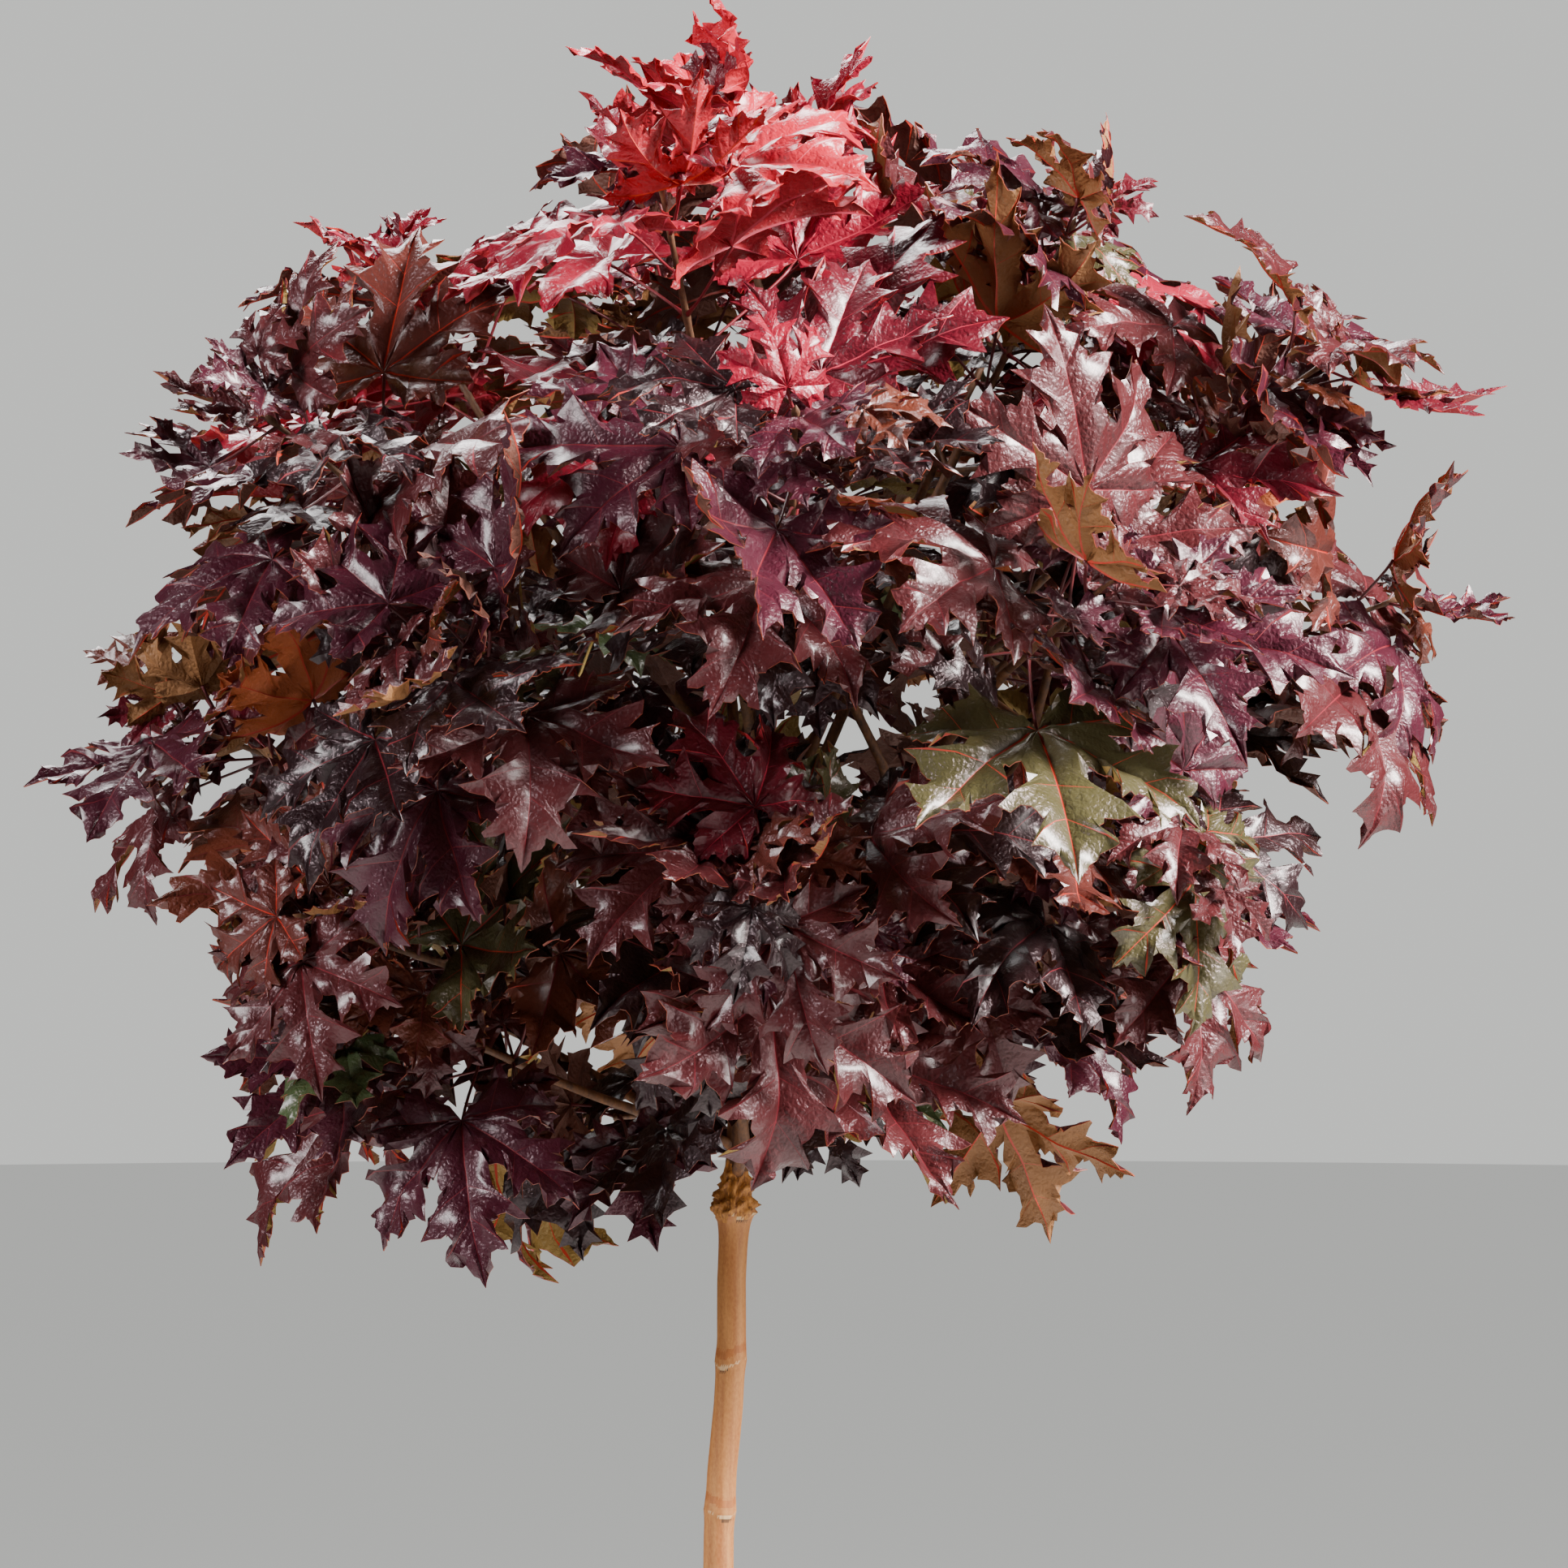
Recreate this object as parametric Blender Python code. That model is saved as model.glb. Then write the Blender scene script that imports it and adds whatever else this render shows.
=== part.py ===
"""A young Norway maple grafted high on a clear trunk, with a round crown of dark leaves.

The trunk runs from its flat cut at ground level, through the graft union, to a leader inside the crown.
Boughs leave the trunk in tiers. Each bough's tip carries one mass of foliage: a shoot with opposite pairs
of long-stalked, five-lobed leaves, each pair turned a quarter from the last, as on every maple.
Sizes are in metres, +Z is up, the crown's face is towards -Y and +X is to its right.
"""

import math
import random

import bmesh
import bpy
from mathutils import Matrix, Vector
from mathutils.bvhtree import BVHTree

# The trunk
TRUNK_FOOT_RADIUS = 0.0114
FLARE_RADIUS = 0.019
FLARE_HEIGHT = 0.05
TRUNK_TOP_RADIUS = 0.0080
GRAFT_HEIGHT = 0.95
GRAFT_RADIUS = 0.0090
GRAFT_LENGTH = 0.014
GRAFT_ACROSS = 0.022
TRUNK_BOW = 0.012
LEADER_RADIUS = 0.0062
LEADER_TIP_RADIUS = 0.0026
LEADER_TOP = (0.044, 0.010, 1.428)
SCAR_SPACING = 0.083
SCAR_START = 0.0325
SCAR_SWELLING = 0.0007
TRUNK_RINGS = 42
TRUNK_SIDES = 8
BOUGH_SIDES = 6

# The crown's tiers, from the skirt up. The heights and reaches are those of the shoots' tips, across is
# where each tier's middle lies, and tilt is how much it rises towards the crown's right.
CROWN_BACK = 0.008
TIERS = {
    "skirt": dict(
        shoots=5, height=1.092, reach=0.232, across=0.000, tilt=0.10, first=20, lift=20, droop=0.30
    ),
    "lower": dict(shoots=6, height=1.145, reach=0.290, across=0.020, tilt=0.10, first=0, lift=16, droop=0.30),
    "middle": dict(
        shoots=6, height=1.255, reach=0.348, across=0.058, tilt=0.10, first=30, lift=20, droop=0.16
    ),
    "upper": dict(shoots=6, height=1.382, reach=0.325, across=0.052, tilt=0.07, first=0, lift=34, droop=0.06),
    "crest": dict(
        shoots=5, height=1.480, reach=0.200, across=0.040, tilt=0.00, first=54, lift=58, droop=-0.25
    ),
}
TIER_PARENTS = {"skirt": "trunk", "lower": "middle", "middle": "trunk", "upper": "middle", "crest": "trunk"}
TOP_SHOOT = dict(azimuth=285, lift=72, droop=-1.0)
SHOOT_LENGTH = 0.125
SHOOT_RADIUS = 0.0023
SHOOT_TIP_RADIUS = 0.0012

# The boughs
BOUGH_RADIUS = 0.0050
SIDE_BOUGH_SHARE = 0.78
BOUGH_TIP_RADIUS = 0.0023
BOUGH_RINGS = 6
BOUGH_SPUR = 0.006
SIDE_BOUGH_STARTS = {"lower": 0.22, "upper": 0.48}
BOUGH_LEAVES_TRUNK_AT = {"skirt": (0.962, 0.0045), "middle": (0.990, 0.022), "crest": (1.110, 0.020)}
BOUGH_STEEPNESS = {"skirt": 20, "middle": 48, "crest": 55}

# The leaves
BLADE_LENGTH = 0.100
BLADE_THICKNESS = 0.0022
STALK_LENGTH = 0.078
STALK_RADIUS = 0.0013
STALK_TIP_RADIUS = 0.0007
STALK_SUNK = 0.0015
LEAF_PAIRS = 5
LEAF_OUTLINE = ((0, 1.00), (24, 0.43), (53, 0.90), (82, 0.40), (118, 0.58))
NOTCH_REACH = 0.06
LOBE_DROOP = 0.16
TRIES = 14

# How far one solid keeps from the next
GAP = 0.0003
CLEARANCE = 0.0009

UP = Vector((0, 0, 1))
CROWN_HEART = Vector((0.040, CROWN_BACK, 1.16))

# The side that the leaves turn their faces to a little, where the tree gets more light
BRIGHT_SIDE = Vector((0.08, -0.28, 0.05))


def material(name, colour, roughness):
    """A plain Principled material."""
    made = bpy.data.materials.new(name)
    made.use_nodes = True
    shader = made.node_tree.nodes["Principled BSDF"]
    shader.inputs["Base Color"].default_value = (*colour, 1)
    shader.inputs["Roughness"].default_value = roughness
    shader.inputs["Metallic"].default_value = 0
    return made


def bow(start, end, leaving, arriving, count):
    """Points along a smooth curve from start to end, given its directions at both ends."""
    reach = (end - start).length / 3
    near, far = start + leaving.normalized() * reach, end - arriving.normalized() * reach
    points = []
    for i in range(count):
        t = i / (count - 1)
        s = 1 - t
        points.append(start * s**3 + near * 3 * s * s * t + far * 3 * s * t * t + end * t**3)
    return points


def tube(name, points, radii, sides, fatter=0.0):
    """A tapering limb as a mesh: a curve with a radius at each point, made a mesh and its caps welded."""
    curve = bpy.data.curves.new(name, "CURVE")
    curve.dimensions = "3D"
    curve.bevel_depth = 1.0
    curve.bevel_resolution = sides // 2 - 2
    curve.use_fill_caps = True
    spline = curve.splines.new("POLY")
    spline.points.add(len(points) - 1)
    for point, place, radius in zip(spline.points, points, radii):
        point.co = (*place, 1)
        point.radius = radius + fatter
    guide = bpy.data.objects.new(name + "_line", curve)
    bpy.context.scene.collection.objects.link(guide)
    bpy.context.view_layer.update()
    mesh = bpy.data.meshes.new_from_object(guide.evaluated_get(bpy.context.evaluated_depsgraph_get()))
    bpy.data.objects.remove(guide)
    weld = bmesh.new()
    weld.from_mesh(mesh)
    bmesh.ops.remove_doubles(weld, verts=weld.verts, dist=1e-6)
    bmesh.ops.recalc_face_normals(weld, faces=weld.faces)
    weld.to_mesh(mesh)
    weld.free()
    return bpy.data.objects.new(name, mesh)


def finish(obj, collection, finish_material):
    """Puts a piece in its collection with its material and smooth shading."""
    collection.objects.link(obj)
    obj.data.materials.clear()
    obj.data.materials.append(finish_material)
    obj.data.shade_smooth()
    obj.data.set_sharp_from_angle(angle=math.radians(40))
    return obj


def cutter(obj, collection):
    """Marks a piece as a cutter, which isn't part of the tree."""
    collection.objects.link(obj)
    obj.hide_render = True
    obj.display_type = "WIRE"
    return obj


def cut_clear(obj, cutting):
    """Takes the parent limb, and a hair's breadth round it, out of a bough's root."""
    cut = obj.modifiers.new("root", "BOOLEAN")
    cut.operation = "DIFFERENCE"
    cut.object = cutting


def between(values, share):
    """The value at that share of a list of points or radii, counted by their number."""
    place = share * (len(values) - 1)
    i = min(int(place), len(values) - 2)
    return values[i] + (values[i + 1] - values[i]) * (place - i)


def smooth_step(x):
    x = min(1.0, max(0.0, x))
    return x * x * (3 - 2 * x)


def facing(azimuth, lift):
    """A direction: azimuth 0 is towards -Y, 90 is +X, and lift is above the horizon, in degrees."""
    a, e = math.radians(azimuth), math.radians(lift)
    return Vector((math.sin(a) * math.cos(e), -math.cos(a) * math.cos(e), math.sin(e)))


def trunk_line():
    """The centre line and radii of the trunk: upright at the ground, bowed to its lean, kinked at scars."""
    points, radii = [], []
    top = Vector(LEADER_TOP)
    for i in range(TRUNK_RINGS):
        z = top.z * i / (TRUNK_RINGS - 1)
        up = min(1.0, z / GRAFT_HEIGHT)
        across = GRAFT_ACROSS * smooth_step(up) - TRUNK_BOW * math.sin(math.pi * up) * smooth_step(3 * up)
        scar = round((z - SCAR_START) / SCAR_SPACING)
        near_scar = math.exp(-(((z - SCAR_START - scar * SCAR_SPACING) / 0.006) ** 2))
        across += 0.0008 * (-1) ** scar * smooth_step(4 * up) * (z < GRAFT_HEIGHT)
        beyond = max(0.0, (z - GRAFT_HEIGHT) / (top.z - GRAFT_HEIGHT))
        place = Vector((across, 0, z))
        place += Vector((top.x - GRAFT_ACROSS, top.y, 0)) * smooth_step(beyond)
        flare = max(0.0, 1 - z / FLARE_HEIGHT)
        if z < GRAFT_HEIGHT:
            radius = TRUNK_FOOT_RADIUS + (TRUNK_TOP_RADIUS - TRUNK_FOOT_RADIUS) * smooth_step(up)
            radius += (FLARE_RADIUS - TRUNK_FOOT_RADIUS) * flare**2 + SCAR_SWELLING * near_scar * (z > 0.06)
        else:
            radius = LEADER_RADIUS + (LEADER_TIP_RADIUS - LEADER_RADIUS) * beyond**0.8
        knob = math.exp(-(((z - GRAFT_HEIGHT) / GRAFT_LENGTH) ** 2))
        radii.append(radius + (GRAFT_RADIUS - LEADER_RADIUS) * knob * 0.8)
        points.append(place)
    points[0].x = points[1].x = 0.0
    points[-2] = top - facing(TOP_SHOOT["azimuth"], TOP_SHOOT["lift"]) * 2 * BOUGH_SPUR
    return points, radii


def shoots():
    """Every shoot of the crown: its name, tier, foot, tip and droop, worked out tier by tier."""
    found = []
    for tier, t in TIERS.items():
        for k in range(t["shoots"]):
            rng = random.Random(f"{tier}{k}")
            azimuth = t["first"] + 360 * k / t["shoots"] + rng.uniform(-7, 7)
            reach = t["reach"] * rng.uniform(0.92, 1.07)
            tip = Vector((t["across"], CROWN_BACK, t["height"] + rng.uniform(-0.018, 0.018)))
            tip += facing(azimuth, 0) * reach
            tip.z += t["tilt"] * (tip.x - t["across"])
            axis = facing(azimuth + rng.uniform(-8, 8), t["lift"])
            found.append(
                dict(name=f"{tier}_{k + 1}", tier=tier, number=k, azimuth=azimuth, axis=axis,
                     tip=tip, foot=tip - axis * SHOOT_LENGTH, droop=t["droop"])
            )
    axis = facing(TOP_SHOOT["azimuth"], TOP_SHOOT["lift"])
    foot = Vector(LEADER_TOP)
    found.append(
        dict(name="top", tier="top", number=0, azimuth=0, axis=axis, foot=foot,
             tip=foot + axis * SHOOT_LENGTH, droop=TOP_SHOOT["droop"])
    )
    return found


def bough_lines(trunk, trunk_radii, all_shoots):
    """The centre line and radii of each bough, with the limb that it leaves."""
    lines = {}
    order = {"middle": 0, "skirt": 1, "crest": 2, "lower": 3, "upper": 4}
    for shoot in sorted((s for s in all_shoots if s["tier"] in order), key=lambda s: order[s["tier"]]):
        tier, k = shoot["tier"], shoot["number"]
        parent = TIER_PARENTS[tier]
        if parent == "trunk":
            lowest, rise = BOUGH_LEAVES_TRUNK_AT[tier]
            z = lowest + rise * (k % 3 if tier == "middle" else k)
            start = between(trunk, z / trunk[-1].z)
            leaving = facing(shoot["azimuth"], BOUGH_STEEPNESS[tier])
            radius = min(BOUGH_RADIUS, SIDE_BOUGH_SHARE * between(trunk_radii, z / trunk[-1].z))
            radius *= 0.7 if tier == "skirt" else 1
        else:
            parent = f"bough_middle_{k + 1}"
            line, radii = lines[parent][:2]
            share = SIDE_BOUGH_STARTS[tier]
            start = between(line, share)
            along = (between(line, share + 0.1) - start).normalized()
            leaving = (along + shoot["axis"] * 0.9).normalized()
            radius = SIDE_BOUGH_SHARE * between(radii, share)
        line = bow(start, shoot["foot"] - shoot["axis"] * BOUGH_SPUR, leaving, shoot["axis"], BOUGH_RINGS - 1)
        line.append(shoot["foot"])
        radii = [radius + (BOUGH_TIP_RADIUS - radius) * i / (BOUGH_RINGS - 1) for i in range(BOUGH_RINGS)]
        lines[f"bough_{shoot['name']}"] = (line, radii, parent)
    return lines


def leaf_frame(stalk_end, midrib, outward):
    """The matrix that carries a leaf, drawn flat with its midrib along +X, to its place."""
    x = midrib.normalized()
    z = (outward - x * outward.dot(x)).normalized()
    y = z.cross(x)
    return Matrix.Translation(stalk_end) @ Matrix((x, y, z)).transposed().to_4x4()


def leaf_places(shoot):
    """Yields the places for leaves on a shoot: opposite pairs, each a quarter turn from the last. The lowest
    pairs have the longest stalks and largest blades, and the last pair is young and small."""
    rng = random.Random(shoot["name"])
    axis = shoot["axis"]
    side = axis.cross(UP if abs(axis.z) < 0.9 else Vector((0, 1, 0))).normalized()
    quarter = rng.uniform(0, math.pi / 2)
    for pair in range(LEAF_PAIRS):
        share = (pair + 1) / LEAF_PAIRS
        youth = share**2
        for half in (0, 1):
            turn = quarter + pair * math.pi / 2 + half * math.pi + rng.uniform(-0.25, 0.25)
            yield dict(
                name=f"{shoot['name']} {pair} {half}",
                node=shoot["foot"].lerp(shoot["tip"], share * 0.97),
                radial=Matrix.Rotation(turn, 3, axis) @ side,
                spread=math.radians(rng.uniform(58, 74) - 38 * youth),
                stalk=STALK_LENGTH * (1.05 - 0.78 * youth) * rng.uniform(0.85, 1.15),
                blade=BLADE_LENGTH * (1.08 - 0.5 * youth) * rng.uniform(0.88, 1.1),
            )


def aim_leaf(shoot, place, attempt):
    """One seeded try at where a leaf's stalk ends and how its blade lies. Later tries are smaller."""
    rng = random.Random(f"{place['name']} {attempt}")
    axis, droop, radial = shoot["axis"], shoot["droop"], place["radial"]
    shrink = 1 - 0.03 * attempt
    along = (axis * math.cos(place["spread"]) + radial * math.sin(place["spread"])).normalized()
    along += Vector([rng.uniform(-0.2, 0.2) for _ in range(3)]) * (1 + attempt / 3)
    end = place["node"] + along.normalized() * place["stalk"] * shrink
    midrib = along * 0.6 + radial * 0.55 - UP * (droop + rng.uniform(-0.25, 0.25))
    midrib += Vector([rng.uniform(-0.36, 0.36) for _ in range(3)]) * (1 + attempt / 3)
    outward = (end - CROWN_HEART).normalized() * 0.55 + axis * 0.2 + UP * (0.8 - 0.4 * droop)
    outward += BRIGHT_SIDE
    outward += Vector([rng.uniform(-0.42, 0.42) for _ in range(3)]) - radial * max(0.0, -droop)
    return end, leaf_frame(end, midrib, outward), place["blade"] * shrink


def blade_mesh(length, thickness):
    """A five-lobed leaf: a flattened sphere of one ring, whose ring is pulled out to the lobes' tips and in
    to the bays between them, with its poles where the veins meet."""
    half = [(math.radians(a), r) for a, r in LEAF_OUTLINE]
    ring = half + [(math.pi, NOTCH_REACH)] + [(-a, r) for a, r in reversed(half[1:])]
    blade = bmesh.new()
    bmesh.ops.create_uvsphere(blade, u_segments=len(ring), v_segments=2, radius=1)
    for v in blade.verts:
        if abs(v.co.z) > 0.5:
            v.co = (0, 0, math.copysign(thickness / 2, v.co.z))
    rim = [v for v in blade.verts if v.co.xy.length > 0.5]
    rim.sort(key=lambda v: math.atan2(v.co.y, v.co.x) % math.tau)
    for v, (angle, reach) in zip(rim, ring):
        sag = LOBE_DROOP * reach**2 * (1 if reach > 0.5 else 0.2)
        v.co = Vector((reach * math.cos(angle), reach * math.sin(angle), -sag)) * length
    return blade


def twig_mesh(start, end, radius, tip_radius, sides=3):
    """A straight tapering twig or leaf stalk from start to end."""
    line = end - start
    twig = bmesh.new()
    bmesh.ops.create_cone(
        twig, cap_ends=True, segments=sides, radius1=radius, radius2=tip_radius, depth=line.length
    )
    bmesh.ops.transform(
        twig, verts=twig.verts,
        matrix=Matrix.Translation((start + end) / 2) @ line.to_track_quat("Z", "Y").to_matrix().to_4x4(),
    )
    return twig


def placed_blade(frame, length, thickness):
    blade = blade_mesh(length, thickness)
    bmesh.ops.transform(blade, matrix=frame, verts=blade.verts)
    return blade


def to_object(name, shape, collection):
    """A bmesh as an object in a collection."""
    mesh = bpy.data.meshes.new(name)
    bmesh.ops.recalc_face_normals(shape, faces=shape.faces)
    shape.to_mesh(mesh)
    shape.free()
    obj = bpy.data.objects.new(name, mesh)
    collection.objects.link(obj)
    return obj


def tree_of(shape):
    """A search tree of a bmesh, with the ball that holds it."""
    places = [v.co for v in shape.verts]
    middle = sum(places, Vector()) / len(places)
    return BVHTree.FromBMesh(shape), middle, max((p - middle).length for p in places)


def limb_space(line, radii):
    """The room a limb takes, a little fatter than it is, stretch by stretch."""
    fat = [r + CLEARANCE for r in radii]
    return [tree_of(twig_mesh(*line[i : i + 2], *fat[i : i + 2], 8)) for i in range(len(line) - 1)]


def meets(tree, others):
    """Whether a shape touches any of the others."""
    mine, middle, radius = tree
    for theirs, centre, reach in others:
        if (middle - centre).length < radius + reach and mine.overlap(theirs):
            return True
    return False


def grow_leaves(shoot, limbs, grown):
    """The leaves of one shoot that keep clear of the limbs, of every other mass and of each other. A leaf is
    turned a few times in search of room, and skipped where there is none."""
    kept, mine, stalks = [], [], []
    others = limbs + grown
    wide = STALK_RADIUS + CLEARANCE
    for place in leaf_places(shoot):
        node = place["node"]
        for attempt in range(TRIES):
            end, frame, length = aim_leaf(shoot, place, attempt)
            blade = tree_of(placed_blade(frame, length * 1.02, BLADE_THICKNESS + 2 * CLEARANCE))
            stalk = tree_of(twig_mesh(node, end, wide, wide))
            free_stalk = tree_of(twig_mesh(node.lerp(end, 0.15), end, wide, wide))
            if not (meets(blade, others + mine) or meets(stalk, others) or meets(free_stalk, mine)):
                kept.append((node, end, frame, length))
                mine += [blade, free_stalk]
                stalks.append(stalk)
                break
    grown += mine + stalks
    return kept


def keep_outer_skin(mesh):
    """Fills a hollow that the union sealed and drops a loose scrap: only the largest skin stays."""
    shape = bmesh.new()
    shape.from_mesh(mesh)
    unseen, skins = set(shape.faces), []
    while unseen:
        skin, edge = set(), [unseen.pop()]
        while edge:
            face = edge.pop()
            skin.add(face)
            for neighbour in {f for e in face.edges for f in e.link_faces} & unseen:
                unseen.discard(neighbour)
                edge.append(neighbour)
        skins.append(skin)
    largest = max(skins, key=len)
    spare = [f for skin in skins if skin is not largest for f in skin]
    bmesh.ops.delete(shape, geom=spare, context="FACES")
    shape.to_mesh(mesh)
    shape.free()


def foliage_mass(shoot, kept, collection, scratch, leaf_material):
    """One mass: its stem, stalks and leaves, joined into one solid by one Boolean union."""
    foot = shoot["foot"] + shoot["axis"] * GAP
    stem = twig_mesh(foot, shoot["tip"], SHOOT_RADIUS, SHOOT_TIP_RADIUS)
    mass = to_object(f"foliage_{shoot['name']}", stem, collection)
    for i, (node, end, frame, length) in enumerate(kept):
        inside = end + frame.to_3x3().col[0] * STALK_SUNK
        to_object(f"stalk_{i}", twig_mesh(node, inside, STALK_RADIUS, STALK_TIP_RADIUS), scratch)
        to_object(f"blade_{i}", placed_blade(frame, length, BLADE_THICKNESS), scratch)
    join = mass.modifiers.new("join", "BOOLEAN")
    join.operation = "UNION"
    join.operand_type = "COLLECTION"
    join.collection = scratch
    join.solver = "MANIFOLD"
    bpy.context.view_layer.update()
    graph = bpy.context.evaluated_depsgraph_get()
    joined = bpy.data.meshes.new_from_object(mass.evaluated_get(graph))
    mass.modifiers.clear()
    keep_outer_skin(joined)
    mass.data = joined
    for piece in list(scratch.objects):
        bpy.data.objects.remove(piece)
    mass.data.materials.clear()
    mass.data.materials.append(leaf_material)
    return mass


def build():
    for obj in list(bpy.data.objects):
        bpy.data.objects.remove(obj)
    scene = bpy.context.scene.collection
    tree = bpy.data.collections.new("norway_maple")
    cutters = bpy.data.collections.new("cutters")
    scratch = bpy.data.collections.new("to_join")
    for collection in (tree, cutters, scratch):
        scene.children.link(collection)

    bark = material("trunk_bark", (0.47, 0.26, 0.12), 0.6)
    shoot_bark = material("bough_bark", (0.16, 0.07, 0.04), 0.6)
    dark_leaf = material("dark_leaf", (0.050, 0.018, 0.022), 0.4)
    red_leaf = material("young_red_leaf", (0.38, 0.02, 0.05), 0.4)

    trunk, trunk_radii = trunk_line()
    finish(tube("trunk", trunk, trunk_radii, TRUNK_SIDES), tree, bark)
    trunk_cutter = cutter(tube("trunk_cutter", trunk, trunk_radii, TRUNK_SIDES, GAP), cutters)

    all_shoots = shoots()
    lines = bough_lines(trunk, trunk_radii, all_shoots)
    cutting = {"trunk": trunk_cutter}
    limbs = limb_space(trunk, trunk_radii)
    for name, (line, radii, parent) in lines.items():
        bough = finish(tube(name, line, radii, BOUGH_SIDES), tree, shoot_bark)
        cut_clear(bough, cutting[parent])
        if "middle" in name:
            cutting[name] = cutter(tube(f"{name}_cutter", line, radii, BOUGH_SIDES, GAP), cutters)
        limbs += limb_space(line, radii)

    grown = []
    for shoot in all_shoots:
        own_stem = twig_mesh(
            shoot["foot"] + shoot["axis"] * 2 * CLEARANCE, shoot["tip"],
            SHOOT_RADIUS + CLEARANCE, SHOOT_TIP_RADIUS + CLEARANCE,
        )
        shoot["stem_space"] = tree_of(own_stem)
    for shoot in all_shoots:
        other_stems = [s["stem_space"] for s in all_shoots if s is not shoot]
        kept = grow_leaves(shoot, limbs + other_stems, grown)
        leaf = red_leaf if shoot["tier"] in ("crest", "top") else dark_leaf
        foliage_mass(shoot, kept, tree, scratch, leaf)
        print(shoot["name"], len(kept), "leaves")
    bpy.data.collections.remove(scratch)


build()
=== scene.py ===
# %% [markdown]
# # A young Norway maple with purple leaves
# The tree is a slender clear trunk, a graft at its top, and a round crown of glossy dark leaves that turn
# crimson at the top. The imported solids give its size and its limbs. This lesson grows the same tree again
# with real leaves: each outer leaf stands where the solids have one, and smaller leaves on finer twigs fill
# the crown between and behind them.

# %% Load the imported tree
import math
import random

import bmesh
import bpy
import numpy as np
from mathutils import Matrix, Vector, noise
from mathutils.bvhtree import BVHTree


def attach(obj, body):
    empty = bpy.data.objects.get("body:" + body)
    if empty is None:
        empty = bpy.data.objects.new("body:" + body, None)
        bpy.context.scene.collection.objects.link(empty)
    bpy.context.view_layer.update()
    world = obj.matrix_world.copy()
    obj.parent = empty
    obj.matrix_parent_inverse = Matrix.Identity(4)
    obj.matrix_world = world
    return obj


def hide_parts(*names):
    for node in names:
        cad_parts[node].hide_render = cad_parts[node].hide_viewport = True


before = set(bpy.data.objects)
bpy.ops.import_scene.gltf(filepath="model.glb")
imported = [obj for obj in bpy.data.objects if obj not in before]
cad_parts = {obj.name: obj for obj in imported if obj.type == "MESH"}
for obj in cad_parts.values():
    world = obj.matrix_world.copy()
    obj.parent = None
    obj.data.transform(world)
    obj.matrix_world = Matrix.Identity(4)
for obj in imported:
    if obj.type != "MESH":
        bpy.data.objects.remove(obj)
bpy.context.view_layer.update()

# %% [markdown]
# ## The camera
# The photo looks straight at the crown from about three metres, level with the crown's lower half. A square
# picture 0.869 m wide at that distance needs a long lens, which also keeps the crown from bulging.

# %% Camera
PICTURE_CENTRE = Vector((0.0484, 0.0, 1.1813))
PICTURE_WIDTH = 0.8694
CAMERA_DISTANCE = 3.0

camera_data = bpy.data.cameras.new("camera")
camera_data.sensor_width = 36
camera_data.lens = camera_data.sensor_width * CAMERA_DISTANCE / PICTURE_WIDTH
camera = bpy.data.objects.new("camera", camera_data)
camera.location = PICTURE_CENTRE - Vector((0, CAMERA_DISTANCE, 0))
camera.rotation_euler = (math.radians(90), 0, 0)
bpy.context.scene.collection.objects.link(camera)
bpy.context.scene.camera = camera
print("lens", round(camera_data.lens, 1), "mm")

# %% [markdown]
# ## The sizes of the trunk
# These are the sizes that the solids were made from, in metres. The trunk stands on a flat cut with a small
# root flare, bows a little, and carries the graft. A thinner leader goes on from there inside the crown.

# %% Sizes of the trunk
TRUNK_FOOT_RADIUS = 0.0114
FLARE_RADIUS = 0.019
FLARE_HEIGHT = 0.05
TRUNK_TOP_RADIUS = 0.0080
TRUNK_BOW = 0.012
TRUNK_RINGS = 42
GRAFT_HEIGHT = 0.95
GRAFT_RADIUS = 0.0090
GRAFT_LENGTH = 0.014
GRAFT_ACROSS = 0.022
LEADER_RADIUS = 0.0062
LEADER_TIP_RADIUS = 0.0026
LEADER_TOP = (0.044, 0.010, 1.428)
SCAR_SPACING = 0.083
SCAR_START = 0.0325
SCAR_SWELLING = 0.0007
SCAR_SPREAD = 0.006
SCAR_KINK = 0.0008
LOWEST_SWELLING = 0.06
KNOB_SHARE = 0.8
print("the graft is", GRAFT_HEIGHT, "m up and", 2000 * GRAFT_RADIUS, "mm thick")

# %% [markdown]
# ## The sizes of the crown
# The crown is built in tiers of shoots, each at the end of a bough. Heights and reaches are those of the
# shoots' tips, across is where a tier's middle lies, and tilt is its rise to the right. Skirt and crest
# boughs leave the trunk as the middle ones do. The lower and upper ones branch from the middle ones.

# %% Sizes of the crown
CROWN_BACK = 0.008
TIERS = {
    "skirt": dict(shoots=5, height=1.092, reach=0.232, across=0.0, tilt=0.1, first=20, lift=20, droop=0.3),
    "lower": dict(shoots=6, height=1.145, reach=0.290, across=0.02, tilt=0.1, first=0, lift=16, droop=0.3),
    "middle": dict(shoots=6, height=1.255, reach=0.348, across=0.058, tilt=0.1, first=30, lift=20,
                   droop=0.16),
    "upper": dict(shoots=6, height=1.382, reach=0.325, across=0.052, tilt=0.07, first=0, lift=34, droop=0.06),
    "crest": dict(shoots=5, height=1.480, reach=0.200, across=0.04, tilt=0.0, first=54, lift=58, droop=-0.25),
}
TIER_PARENTS = {"skirt": "trunk", "lower": "middle", "middle": "trunk", "upper": "middle", "crest": "trunk"}
TOP_SHOOT = dict(azimuth=285, lift=72, droop=-1.0)
SHOOT_LENGTH = 0.125
SHOOT_RADIUS = 0.0023
SHOOT_TIP_RADIUS = 0.0012

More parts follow.
